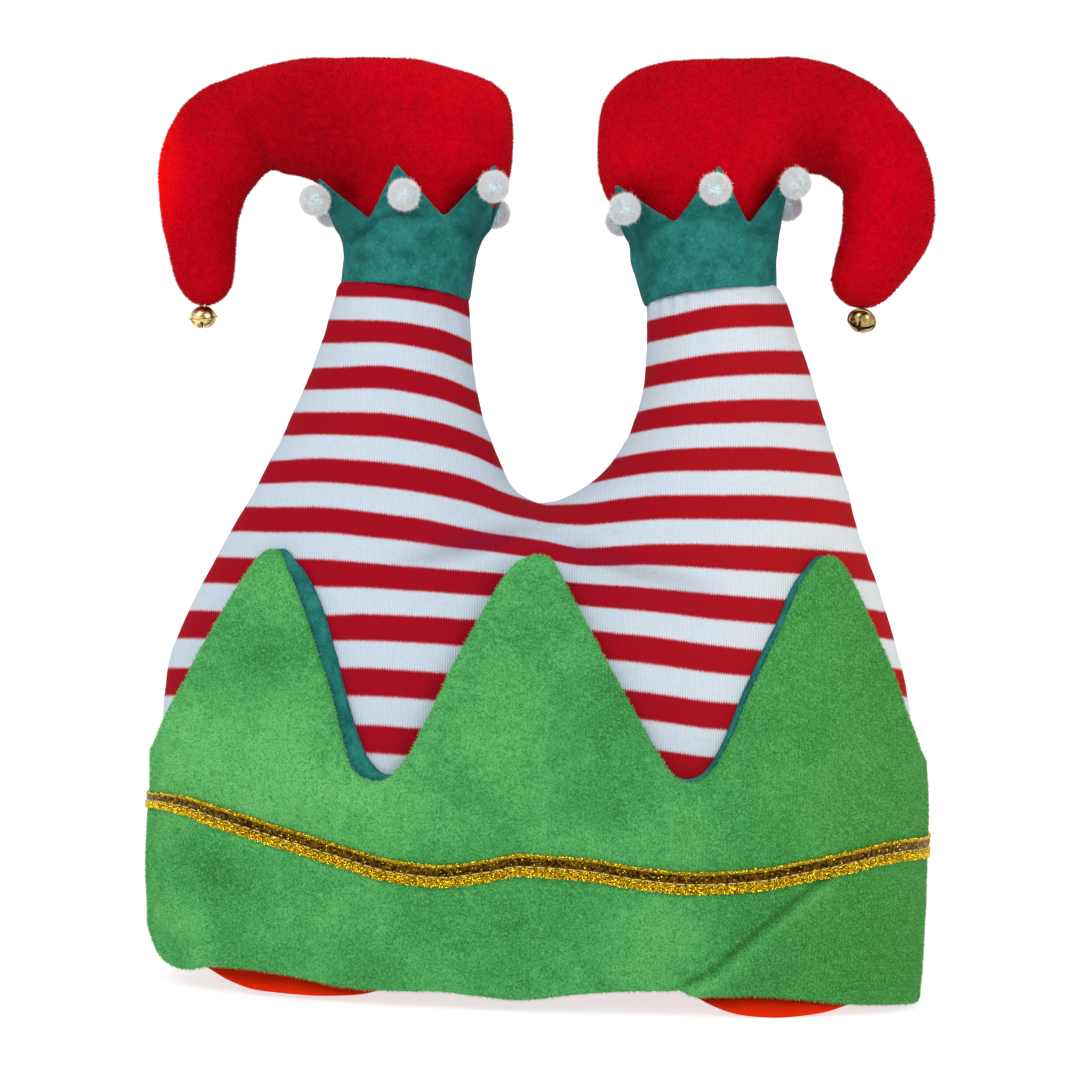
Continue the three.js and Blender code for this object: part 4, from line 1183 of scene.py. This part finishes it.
def boot_parts(side):
    sign, joint_x, joint_z, half = ANKLE[side]
    rows = BOOT_ROWS[side]
    centre = np.stack([
        joint_x + sign * BOOT_REACH * rows[:, 0], 0 * rows[:, 0], joint_z + BOOT_RISE * rows[:, 1],
    ], axis=1)
    before = centre[np.clip(np.arange(len(rows)) - 1, 0, None)]
    after = centre[np.clip(np.arange(len(rows)) + 1, None, len(rows) - 1)]
    tangent = after - before
    tangent /= np.linalg.norm(tangent, axis=1)[:, None]
    hanging = smooth_step(0.16, 0.0, rows[:, 1])[:, None]
    tangent = tangent * (1 - hanging) + np.array((0, 0, -1)) * hanging
    up = np.cross((0, 1, 0), tangent)
    turn = 2 * np.pi * np.arange(40) / 40
    sections = (
        centre[:, None]
        + up[:, None] * (BOOT_RISE * rows[:, 2])[:, None, None] * np.cos(turn)[None, :, None]
        + np.array((0, 1, 0)) * (BOOT_HALF * rows[:, 3])[:, None, None] * np.sin(turn)[None, :, None]
    )
    run = np.concatenate([[0], np.cumsum(np.linalg.norm(np.diff(centre, axis=0), axis=1))])
    fine = through(run, sections, np.linspace(0, run[-1], 60))
    ends = [np.tile(ring.mean(axis=0), (40, 1)) for ring in (fine[0], fine[-1])]
    bag = skin([ends[0], *fine, ends[1]])
    stub = []
    for height, shrink in ((0.3, 0.0), (0.3, 0.95), (14, 1.0), (30, 1.0), (40, 0.95), (46, 0.0)):
        stub.append(np.stack([
            joint_x + half * shrink * np.cos(turn), 21.7 * shrink * np.sin(turn),
            np.full(40, joint_z + height),
        ], axis=1))
    return bag, skin(stub)


def remeshed(piece, voxel):
    modifier = piece.modifiers.new("weld", "REMESH")
    modifier.mode = "VOXEL"
    modifier.voxel_size = voxel * MM
    modifier.use_smooth_shade = True
    relax = piece.modifiers.new("relax", "SMOOTH")
    relax.factor, relax.iterations = 0.5, 12
    return baked(piece)


BOOT_PATCHES = {
    # x, z, width and height of a patch in front, and how much lighter it is: painted light and shade, partly
    # brushed nap
    "left": [
        (-104, 326, 24, 15, -0.75), (-78, 321, 15, 15, -0.4), (-85, 309, 20, 9, -0.5),
        (-30, 344, 20, 12, 0.45), (-135, 262, 12, 16, -0.3), (-147, 312, 7, 20, 0.3),
    ],
    "right": [
        (101, 326, 13, 24, -0.55), (92, 345, 16, 8, -0.25), (78, 314, 14, 12, 0.6),
        (40, 342, 22, 14, -0.3), (30, 312, 10, 14, 0.3), (112, 268, 10, 18, 0.25),
    ],
}
for side in ("left", "right"):
    boot = to_mesh(f"boot_{side}_velour", boot_parts(side))
    boot = remeshed(boot, 2.6)
    boot = subdivided(boot, 1)
    points = coordinates(boot)
    outward = normals(boot)
    x, y, z = points.T
    push = -0.55 + 0.6 * lumps(points, 34, 31) + 0.25 * lumps(points, 13, 32)
    is_edge = np.exp(-((y / 1.6) ** 2)) * smooth_step(0.35, 0.1, np.abs(outward[:, 1]))
    push -= 0.9 * is_edge * (z > ANKLE[side][2] + 22)
    push += 0.3 * np.exp(-(((np.abs(y) - 5) / 3) ** 2)) * lumps(points * (1, 0, 1), 4.5, 33)
    bend_x = ANKLE[side][1] + ANKLE[side][0] * 52
    for slope, depth in ((0.35, 0.7), (0.0, 0.9), (-0.3, 0.6)):
        end_x = bend_x + ANKLE[side][0] * (10 + 30 * abs(slope))
        line = [(bend_x, ANKLE[side][2] + 30), (end_x, ANKLE[side][2] + 50 + 40 * slope)]
        push += fold(points, line, depth, 2.6) + fold(points, line, depth, 2.6, False)
    place_points(boot, points + outward * push[:, None])
    x, y, z = coordinates(boot).T
    carry(boot, "brush", patches_at(x, z, BOOT_PATCHES[side]) * (y < 4))
    dress(boot, velour, "velour", f"boot_{side}")
    nap_fibres = grown(
        boot, f"nap_{side}", velour,
        Density=2.2e6, Length=0.0008, Thickness=0.00013, Lean=0.7, Seed=11,
    )
    dress(nap_fibres, None, "velour")

# %% [markdown]
# ## Collars and pompoms
# The collars are felt bands cut in six points round each ankle. A band stands
# straight up from the leg and its points lean out over the boot. Each point
# has a crease at its foot, where it was folded out, and carries a pompom.

# %% Collars
COLLAR_REACH, COLLAR_RISE, KNEE = 36.0, 46.0, 20.0
COLLAR_ROWS = {
    # turn in degrees, across, deep, up
    "left": np.array([
        (-90, -0.13, -0.77, 0.98), (-62, 0.36, -0.655, 0.57), (-28, 0.87, -0.6, 1.03), (0, 0.8, 0, 0.54),
        (28, 0.93, 0.6, 0.95), (62, 0.36, 0.655, 0.57), (90, -0.05, 0.77, 0.96), (118, -0.38, 0.655, 0.53),
        (150, -0.94, 0.46, 0.85), (180, -0.76, 0, 0.5), (210, -0.94, -0.46, 0.88), (242, -0.38, -0.655, 0.53),
    ]),
    "right": np.array([
        (-90, 0.08, -0.77, 1), (-62, 0.4, -0.655, 0.54), (-28, 0.84, -0.5, 1.05), (0, 0.76, 0, 0.6),
        (28, 0.86, 0.5, 0.94), (62, 0.4, 0.655, 0.54), (90, 0.05, 0.77, 0.98), (118, -0.34, 0.655, 0.53),
        (150, -0.96, 0.56, 0.8), (180, -0.76, 0, 0.42), (210, -0.96, -0.56, 0.84), (242, -0.34, -0.655, 0.53),
    ]),
}
SPLIT = 9
COLLAR_FOOT = {"left": 0.969, "right": 0.979}


def collar_lines(side):
    """Low, end, knee and top points of the collar's inside, and its outward direction."""
    sign, joint_x, joint_z, half = ANKLE[side]
    table = COLLAR_ROWS[side]
    neck = LEG_ROWS[side][-2]
    neck_x = sign * HALF_WIDTH * (neck[1] + neck[2]) / 2
    neck_half = HALF_WIDTH * (neck[1] - neck[2]) / 2
    foot = LEG_TOP * COLLAR_FOOT[side]
    share = np.tile(np.arange(SPLIT) / SPLIT, 12)
    here = np.repeat(np.arange(12), SPLIT)
    following = (here + 1) % 12
    turn_to = table[following, 0] + np.where(following == 0, 360, 0)
    angle = np.radians(table[here, 0] + (turn_to - table[here, 0]) * share)
    mixed = table[here] + (table[following] - table[here]) * share[:, None]
    cosine, sine = np.cos(angle), np.sin(angle)
    out = np.stack([cosine * 22, sine * half, 0 * cosine], axis=1)
    out /= np.linalg.norm(out, axis=1)[:, None]

    def ring(x, wide, z, spread):
        return np.stack([x + (wide + spread) * cosine, (22 + spread) * sine, z + 0 * cosine], axis=1)

    low = foot + LEG_TOP * neck[4] * sign * cosine
    low = low + 1.4 * np.maximum(-sine, 0)
    lines = [
        ring(neck_x, neck_half, low, 0.5),
        ring(joint_x, half, joint_z, 0.5),
        ring(joint_x, half, foot + KNEE, 0.5),
        np.stack([
            joint_x + COLLAR_REACH * mixed[:, 1], COLLAR_REACH * mixed[:, 2],
            foot + COLLAR_RISE * mixed[:, 3],
        ], axis=1),
    ]
    return np.array(lines), out


COLLAR_FOLDS = {
    "left": [
        ([(-80, 277.5), (-73.5, 281), (-67, 285)], 1.1), ([(-67, 286.5), (-58, 288.8), (-44, 288)], 1.2),
        ([(-38, 285), (-32.5, 282.5), (-27, 284)], 1.1), ([(-72, 272), (-60, 274.5), (-46, 273)], 0.5),
    ],
    "right": [
        ([(33, 285), (40, 289), (45, 292)], 0.8), ([(49, 290), (57, 291.5), (64, 290)], 0.7),
        ([(68, 286), (75, 288), (82, 286.5)], 0.9), ([(38, 275), (50, 279), (66, 277)], 0.5),
    ],
}
COLLAR_SHADES = {
    # x, z, width and height of a shaded place, and how dark it is
    "left": [(-78, 288, 7, 9, 0.6), (-30, 287, 6, 9, 0.7), (-56, 297, 9, 4, 0.3), (-30, 272, 4, 10, 0.35)],
    "right": [(31, 287, 6, 8, 0.5), (83, 289, 5, 9, 0.6), (58, 296, 9, 4, 0.25), (36, 270, 4, 8, 0.3)],
}


def flared(lines, levels):
    """Straight up from the leg, then one smooth curve out to the tips."""
    low, end, knee, top = lines
    first = low + (end - low) * np.clip(levels, 0, 1)[:, None, None]
    t = (np.clip(levels - 1, 0, 2) / 2)[:, None, None]
    bent = end * (1 - t) ** 2 + knee * 2 * t * (1 - t) + top * t**2
    return np.where(levels[:, None, None] < 1, first, bent)


for side in ("left", "right"):
    lines, out = collar_lines(side)
    levels = np.concatenate([np.linspace(0, 1, 6), np.linspace(1, 2, 6)[1:], np.linspace(2, 3, 12)[1:]])
    inside = flared(lines, levels)
    outside = inside + out * 1.7
    thin = np.clip(levels - 2, 0, 1)[:, None, None]
    outside = outside - out * thin * 0.3
    rim = (inside[-1] + outside[-1]) / 2 + (0, 0, 0.5)
    base = (inside[0] + outside[0]) / 2 - (0, 0, 0.5)
    collar = to_mesh(f"collar_{side}_felt", [skin([base, *outside, rim, *inside[::-1], base])])
    collar = subdivided(collar, 1)
    points = coordinates(collar)
    outward = normals(collar)
    is_face = smooth_step(-0.2, -0.7, outward[:, 1])
    push = 0.35 * lumps(points, 9, 41) + 0.12 * lumps(points, 3.5, 42)
    shadow = np.zeros(len(points))
    for line, depth in COLLAR_FOLDS[side]:
        push += is_face * fold(points, line, depth, 0.9)
        distance, side_of, along = to_line(points[:, 0], points[:, 2], line)
        shadow += (
            0.55 * depth * is_face * np.sin(np.pi * np.clip(0.1 + 0.8 * along, 0, 1))
            * np.exp(-distance / np.where(side_of > 0, 2.6, 0.9))
        )
    shadow += patches_at(points[:, 0], points[:, 2], COLLAR_SHADES[side]) * (points[:, 1] < 0)
    points = points + outward * push[:, None]
    place_points(collar, points)
    # The shadow is painted shade, carried to the felt as its crease darkening.
    carry(collar, "crease", np.clip(shadow, 0, 1))
    dress(collar, felt, "felt", f"collar_{side}")

# %% Pompoms
BALL = 6.4
POMPOM_SHIFTS = {
    # sideways and upwards from the solids' centres to where they hang, in mm
    "left": [(2.0, -2.7), (-4.0, 4.0), (-4.0, 2.3), (0, 0), (2.3, 3.8), (0, 1.7)],
    "right": [(0, 0), (-2.6, 6.4), (-1, 5.5), (0, 0), (5, 4), (5.2, 0.6)],
}


def touching(centre, cloth):
    """Brings a pompom towards the middle of the hat until it rests on its cloth."""
    best, closest = centre, 1e9
    for deep in np.arange(abs(centre[1]) + 3, abs(centre[1]) - 12, -0.25):
        place = np.array((centre[0], math.copysign(deep, centre[1]), centre[2]))
        gap = cloth.find_nearest(place)[3]
        if gap < closest:
            best, closest = place, gap
        if gap < BALL - 1.2:
            break
    return best, closest


def pompom_centres(side):
    collar = bpy.data.objects[f"collar_{side}_felt"]
    cloth = BVHTree.FromPolygons(
        [tuple(p) for p in coordinates(collar)], [tuple(face.vertices) for face in collar.data.polygons]
    )
    centres = []
    for number, (sideways, upwards) in enumerate(POMPOM_SHIFTS[side], 1):
        low, high = (np.array(corner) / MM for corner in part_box(f"pompom_{side}_{number}"))
        centre = (low + high) / 2 + (sideways, 0, upwards)
        place, gap = touching(centre, cloth)
        moved_in = round(abs(centre[1]) - abs(place[1]), 1)
        print(side, number, "moved in by, mm:", moved_in, "gap:", round(gap - BALL, 1))
        centres.append(place)
    return centres


for side in ("left", "right"):
    for number, centre in enumerate(pompom_centres(side), 1):
        shape = bmesh.new()
        bmesh.ops.create_icosphere(shape, subdivisions=4, radius=1)
        for corner in shape.verts:
            direction = corner.co.normalized()
            size = BALL - 1.9 + 0.4 * noise.noise(direction * 2.2 + Vector((number, 0, len(side)))) \
                + 0.25 * noise.noise(direction * 7 + Vector((0, number, 5)))
            corner.co = Vector(centre) * MM + direction * size * MM
        for face in shape.faces:
            face.smooth = True
        core = placed("core", shape)
        core.data.materials.append(yarn.material)
        fur = grown(
            core, "fur", yarn, Density=2.2e7, Length=0.0019, Thickness=0.00012, Lean=0.6, Seed=number,
        )
        wisps = grown(
            core, "wisps", yarn,
            Density=1.8e6, Length=0.0030, Thickness=0.00008, Lean=0.8, Seed=number + 20,
        )
        pompom = joined(f"yarn_ball_{side}_{number}", core, fur, wisps)
        dress(pompom, None, "pompom", f"pompom_{side}_{number}")

# %% [markdown]
# ## The braid
# The braid is a flat strip, 8 mm wide, sewn on with a running stitch. Its
# glitter stands up from the cloth, so the chips and the stitches are real
# pieces, placed along the strip by a second node tree.

# %% Braid strip
def narrowed(across):
    """The strip is drawn together where it turns round the left side."""
    return 1 - 0.32 * smooth_step(-0.78, -0.99, across)


count = 720
braid_turns, braid_length = even_turns(count, HALF_WIDTH + 7, HALF_DEPTH + 7)
a, d = oval(braid_turns)
middle = hem(a, d, 3)
low, high = hem(a, d, 1), edge(a, d, 1)
rings = []
profile = [
    (-4, 0.0), (-4.05, 0.45), (-3.7, 0.85), (-2.6, 1.0), (-1.2, 0.95), (-0.5, 0.7),
    (0.1, 0.85), (1.2, 1.05), (2.6, 1.05), (3.7, 0.85), (4.05, 0.45), (4, 0.0),
]
for across_strip, rise in profile:
    height = middle + across_strip * narrowed(a)
    base = 5.9 + np.clip(plush_push(a, d, height, low, high, middle), -1.8, 4.5)
    rings.append(on_crown(a, d, height, base + rise + 0.2))
rings.append(rings[0])
braid = to_mesh("braid_strip", [skin(rings)])
layout = braid.data.uv_layers.new(name="braid")
spots = coordinates(braid)
angles_of = np.arctan2(
    np.sign(spots[:, 1]) * np.abs(spots[:, 1] / (HALF_DEPTH + 7)) ** (OVAL / 2),
    np.sign(spots[:, 0]) * np.abs(spots[:, 0] / (HALF_WIDTH + 7)) ** (OVAL / 2),
) % (2 * math.pi)
order = (angles_of - math.pi) % (2 * math.pi) + math.pi
run_along = np.interp(order, np.append(braid_turns, 3 * math.pi), np.arange(count + 1) * braid_length / count)
strip_middle = hem(spots[:, 0] / (HALF_WIDTH + 7), spots[:, 1], 3)
strip_narrow = narrowed(spots[:, 0] / (HALF_WIDTH + 7))
for face in braid.data.polygons:
    runs = run_along[list(face.vertices)]
    wraps = runs.max() - runs.min() > braid_length / 2
    for loop, vertex, run in zip(face.loop_indices, face.vertices, runs):
        if wraps and run < braid_length / 2:
            run += braid_length
        place_across = (spots[vertex, 2] - strip_middle[vertex]) / strip_narrow[vertex] / 8 + 0.5
        layout.data[loop].uv = (run, place_across)
dress(braid, lame, "gold_braid", "braid")


# %% Glitter and stitches
def chip_mesh():
    shape = bmesh.new()
    corner_places = ((-1, -0.6, 0), (1, -0.5, 0), (0.7, 0.7, 0), (-0.8, 0.6, 0), (0, 0, 0.5))
    corners = [shape.verts.new(Vector(p) * 0.30 * MM) for p in corner_places]
    for face in ((0, 1, 4), (1, 2, 4), (2, 3, 4), (3, 0, 4), (3, 2, 1, 0)):
        shape.faces.new([corners[i] for i in face])
    mesh = bpy.data.meshes.new("chip")
    shape.to_mesh(mesh)
    shape.free()
    return mesh


def stitch_mesh():
    shape = bmesh.new()
    rings = [(-1.5, 0.05), (-1.3, 0.15), (-0.6, 0.2), (0.6, 0.2), (1.3, 0.15), (1.5, 0.05)]
    for x, radius in rings:
        for turn in range(6):
            angle = math.pi * turn / 3
            height = radius * math.sin(angle) - 0.25 * (x / 1.5) ** 4
            shape.verts.new(Vector((x, radius * math.cos(angle), height)) * MM)
    shape.verts.ensure_lookup_table()
    for k in range(len(rings) - 1):
        for turn in range(6):
            after = (turn + 1) % 6
            around = (k * 6 + turn, k * 6 + after, k * 6 + 6 + after, k * 6 + 6 + turn)
            shape.faces.new([shape.verts[i] for i in around])
    shape.faces.new([shape.verts[i] for i in range(5, -1, -1)])
    shape.faces.new([shape.verts[30 + i] for i in range(6)])
    bmesh.ops.recalc_face_normals(shape, faces=shape.faces)
    for face in shape.faces:
        face.smooth = True
    mesh = bpy.data.meshes.new("stitch")
    shape.to_mesh(mesh)
    shape.free()
    return mesh


def strewn(name, mesh, finish, spots, directions, seed, tumble):
    """Instances of a mesh on given points, made real by Geometry Nodes."""
    tree = bpy.data.node_groups.new(name, "GeometryNodeTree")
    tree.interface.new_socket("Geometry", in_out="INPUT", socket_type="NodeSocketGeometry")
    for label, kind in (
        ("Piece", "NodeSocketObject"), ("Finish", "NodeSocketMaterial"),
        ("Tumble", "NodeSocketFloat"), ("Seed", "NodeSocketInt"),
    ):
        tree.interface.new_socket(label, in_out="INPUT", socket_type=kind)
    tree.interface.new_socket("Geometry", in_out="OUTPUT", socket_type="NodeSocketGeometry")
    nodes, link = tree.nodes, tree.links.new
    given = nodes.new("NodeGroupInput")
    info = nodes.new("GeometryNodeObjectInfo")
    link(given.outputs["Piece"], info.inputs["Object"])
    facing_way = nodes.new("GeometryNodeInputNamedAttribute")
    facing_way.data_type = "FLOAT_VECTOR"
    facing_way.inputs["Name"].default_value = "out"
    running = nodes.new("GeometryNodeInputNamedAttribute")
    running.data_type = "FLOAT_VECTOR"
    running.inputs["Name"].default_value = "run"
    loose = nodes.new("FunctionNodeRandomValue")
    loose.data_type = "FLOAT_VECTOR"
    loose.inputs["Min"].default_value = (-1, -1, -1)
    loose.inputs["Max"].default_value = (1, 1, 1)
    link(given.outputs["Seed"], loose.inputs["Seed"])
    scaled = nodes.new("ShaderNodeVectorMath")
    scaled.operation = "SCALE"
    link(loose.outputs[0], scaled.inputs[0])
    link(given.outputs["Tumble"], scaled.inputs["Scale"])
    tipped = nodes.new("ShaderNodeVectorMath")
    link(facing_way.outputs[0], tipped.inputs[0])
    link(scaled.outputs[0], tipped.inputs[1])
    upright = nodes.new("FunctionNodeAlignRotationToVector")
    upright.axis = "Z"
    link(tipped.outputs[0], upright.inputs["Vector"])
    turned = nodes.new("FunctionNodeAlignRotationToVector")
    turned.axis, turned.pivot_axis = "X", "Z"
    link(upright.outputs[0], turned.inputs["Rotation"])
    link(running.outputs[0], turned.inputs["Vector"])
    stand = nodes.new("GeometryNodeInstanceOnPoints")
    link(given.outputs["Geometry"], stand.inputs["Points"])
    link(info.outputs["Geometry"], stand.inputs["Instance"])
    link(turned.outputs[0], stand.inputs["Rotation"])
    real = nodes.new("GeometryNodeRealizeInstances")
    link(stand.outputs[0], real.inputs[0])
    set_finish = nodes.new("GeometryNodeSetMaterial")
    link(real.outputs[0], set_finish.inputs["Geometry"])
    link(given.outputs["Finish"], set_finish.inputs["Material"])
    result = nodes.new("NodeGroupOutput")
    link(set_finish.outputs[0], result.inputs["Geometry"])

    pattern = bpy.data.objects.new("pattern", mesh)
    cloud = bpy.data.meshes.new(name)
    cloud.from_pydata([tuple(p * MM) for p in spots], [], [])
    for label, vectors in (("out", directions[0]), ("run", directions[1])):
        attribute = cloud.attributes.new(label, "FLOAT_VECTOR", "POINT")
        attribute.data.foreach_set("vector", np.asarray(vectors, float).ravel())
    piece = bpy.data.objects.new(name, cloud)
    bpy.context.collection.objects.link(piece)
    bpy.context.collection.objects.link(pattern)
    modifier = piece.modifiers.new("strew", "NODES")
    modifier.node_group = tree
    sockets = {item.name: item.identifier for item in tree.interface.items_tree if item.in_out == "INPUT"}
    modifier[sockets["Piece"]] = pattern
    modifier[sockets["Finish"]] = finish.material
    modifier[sockets["Tumble"]] = tumble
    modifier[sockets["Seed"]] = seed
    baked(piece)
    bpy.data.objects.remove(pattern)
    return piece


def on_braid(at, across_strip, rise):
    """Points on the braid: at a run along it in mm and a place across it."""
    runs = np.arange(count + 1) * braid_length / count
    turns = np.interp(at % braid_length, runs, np.append(braid_turns, 3 * math.pi))
    a, d = oval(turns)
    middle = hem(a, d, 3)
    height = middle + across_strip * narrowed(a)
    base = 5.9 + np.clip(plush_push(a, d, height, hem(a, d, 1), edge(a, d, 1), middle), -1.8, 4.5)
    return on_crown(a, d, height, base + rise)


def braid_frame(at, across_strip, rise):
    spots = on_braid(at, across_strip, rise)
    ahead = on_braid(at + 0.5, across_strip, rise) - on_braid(at - 0.5, across_strip, rise)
    ahead /= np.linalg.norm(ahead, axis=1)[:, None]
    out = np.cross(ahead, (0, 0, 1))
    out /= np.linalg.norm(out, axis=1)[:, None]
    return spots, (out, ahead)


random = np.random.default_rng(7)
chips = 15000
at = random.uniform(0, braid_length, chips)
strip = np.where(
    random.random(chips) < 0.22, random.normal(3.8, 0.22, chips), random.uniform(-4.1, -0.8, chips),
)
loose_share = random.random(chips) < 0.06
strip = np.where(loose_share, random.uniform(0, 3.4, chips), strip)
spots, directions = braid_frame(at, strip, 1.25 + random.random(chips) * 0.25)
sparkles = strewn("braid_glitter", chip_mesh(), glitter, spots, directions, 5, 1.3)
dress(sparkles, None, "gold_braid")

at = np.arange(0, braid_length - 2, 3.9)
spots, directions = braid_frame(at, -0.5 + 0 * at, 1.15 + 0 * at)
stitches = strewn("braid_stitches", stitch_mesh(), stitch, spots, directions, 6, 0.0)
dress(stitches, None, "gold_braid")

# %% [markdown]
# ## The bells
# A jingle bell is two pressed cups, crimped together round the middle, with
# a cross of slots in the lower cup and a wire ring on top. The cups are turned
# shapes, so their profile is spun round, and the slots are cut through them.

# %% Bells
BELL, BELL_WALL = 5.0, 0.6


def bell(side):
    sign, joint_x, joint_z, _ = ANKLE[side]
    row = BOOT_ROWS[side][-1]
    toe = Vector((joint_x + sign * BOOT_REACH * row[0], 0, joint_z + BOOT_RISE * row[1]))
    profile = []
    for k in range(-14, 15):
        angle = math.pi / 2 * k / 14
        radius = BELL * math.cos(angle) ** 0.92 if abs(k) < 14 else 0
        height = BELL * 0.86 * math.sin(angle)
        if k == 0:
            for h, crimp in ((-0.42, 0), (-0.36, 0.45), (-0.2, 0.62), (0.2, 0.62), (0.36, 0.45), (0.42, 0)):
                profile.append((BELL + crimp, h))
        elif abs(height) > 0.45:
            profile.append((radius, height))
    sides = 48
    rings = [
        np.array([
            (r * math.cos(2 * math.pi * i / sides), r * math.sin(2 * math.pi * i / sides), h)
            for i in range(sides)
        ])
        for r, h in profile
    ]
    inner = [
        np.array([((BELL - BELL_WALL) * math.cos(t) * math.cos(2 * math.pi * i / sides),
                   (BELL - BELL_WALL) * math.cos(t) * math.sin(2 * math.pi * i / sides),
                   (BELL - BELL_WALL) * 0.86 * math.sin(t)) for i in range(sides)])
        for t in np.linspace(math.pi / 2, -math.pi / 2, 17)
    ]
    shell = to_mesh(f"bell_{side}_brass", [skin(rings)])
    hollow = to_mesh("hollow", [skin(inner)])
    cutters = [hollow]
    for turned in (0, 90):
        shape = bmesh.new()
        bmesh.ops.create_cube(shape, size=1)
        bmesh.ops.scale(shape, vec=Vector((14, 1.15, 4)) * MM, verts=shape.verts)
        bmesh.ops.translate(shape, vec=Vector((0, 0, -2 - 0.9)) * MM, verts=shape.verts)
        quarter = Matrix.Rotation(math.radians(turned), 3, "Z")
        bmesh.ops.rotate(shape, cent=(0, 0, 0), matrix=quarter, verts=shape.verts)
        cutters.append(placed("slot", shape))
    for cutter in cutters:
        cut = shell.modifiers.new("cut", "BOOLEAN")
        cut.operation, cut.solver, cut.object = "DIFFERENCE", "EXACT", cutter
    baked(shell)
    for cutter in cutters:
        bpy.data.objects.remove(cutter)
    ring_shape = []
    for i in range(24):
        turn = 2 * math.pi * i / 24
        ring_shape.append(np.array([
            ((1.15 + 0.35 * math.cos(t)) * math.cos(turn), 0.35 * math.sin(t),
             (1.15 + 0.35 * math.cos(t)) * math.sin(turn) + BELL * 0.86 + 0.75)
            for t in np.linspace(0, 2 * math.pi, 9)[:-1]
        ]))
    ring_piece = to_mesh("ring", [skin([*ring_shape, ring_shape[0]])])
    for piece in (shell, ring_piece):
        piece.data.materials.clear()
        piece.data.materials.append(brass.material)
    whole = joined(f"brass_bell_{side}", shell, ring_piece)
    tip = {"left": (math.radians(14), math.radians(-6)), "right": (math.radians(-46), math.radians(16))}[side]
    centre = toe - Vector((0, 0, BELL * 0.86 - 0.7))
    turn = Matrix.Translation(centre * MM) @ Matrix.Rotation(tip[0], 4, "X") @ Matrix.Rotation(tip[1], 4, "Y")
    whole.data.transform(turn)
    for face in whole.data.polygons:
        face.use_smooth = True
    whole.data.set_sharp_from_angle(angle=math.radians(40))
    return whole


for side in ("left", "right"):
    dress(bell(side), None, "bell_gold", f"bell_{side}")


# %% Floor and light
bowl = [(0, 0), (600, 0), (1100, 0)]
bowl += [(1100 + 900 * math.sin(t), 900 - 900 * math.cos(t)) for t in np.radians(np.arange(6, 91, 7))]
bowl += [(2000, 1600)]
ring_turns = np.radians(np.arange(0, 360, 6))
floor_rings = [
    np.stack([r * np.cos(ring_turns), r * np.sin(ring_turns), np.full(len(ring_turns), h)], axis=1)
    for r, h in bowl
]
floor = to_mesh("floor", [skin(floor_rings)])
floor_finish = Finish("floor_paper", Roughness=0.9)
floor_finish.shader.inputs["Base Color"].default_value = (0.40, 0.40, 0.40, 1)
floor_finish.shader.inputs["Emission Color"].default_value = (1, 1, 1, 1)
floor_finish.shader.inputs["Emission Strength"].default_value = 0.72
floor.data.materials.append(floor_finish.material)


def softbox(name, place, size, power, colour=(1, 1, 1)):
    data = bpy.data.lights.new(name, "AREA")
    data.shape, data.size, data.size_y = "RECTANGLE", *size
    data.energy, data.color = power, colour
    light = bpy.data.objects.new(name, data)
    direction = Vector((0, 0, 0.17)) - Vector(place)
    light.matrix_world = Matrix.Translation(place) @ direction.to_track_quat("-Z", "Y").to_matrix().to_4x4()
    light.visible_camera = False
    bpy.context.collection.objects.link(light)


softbox("key", (-0.9, -1.3, 1.5), (1.0, 1.0), 16)
softbox("fill", (1.1, -1.3, 0.9), (0.9, 0.9), 7.5)
softbox("top", (0, 0.5, 1.9), (1.4, 1.4), 15)
world = bpy.data.worlds.new("studio")
world.use_nodes = True
world.node_tree.nodes["Background"].inputs["Color"].default_value = (0.92, 0.95, 1.0, 1)
world.node_tree.nodes["Background"].inputs["Strength"].default_value = 0.31
bpy.context.scene.world = world
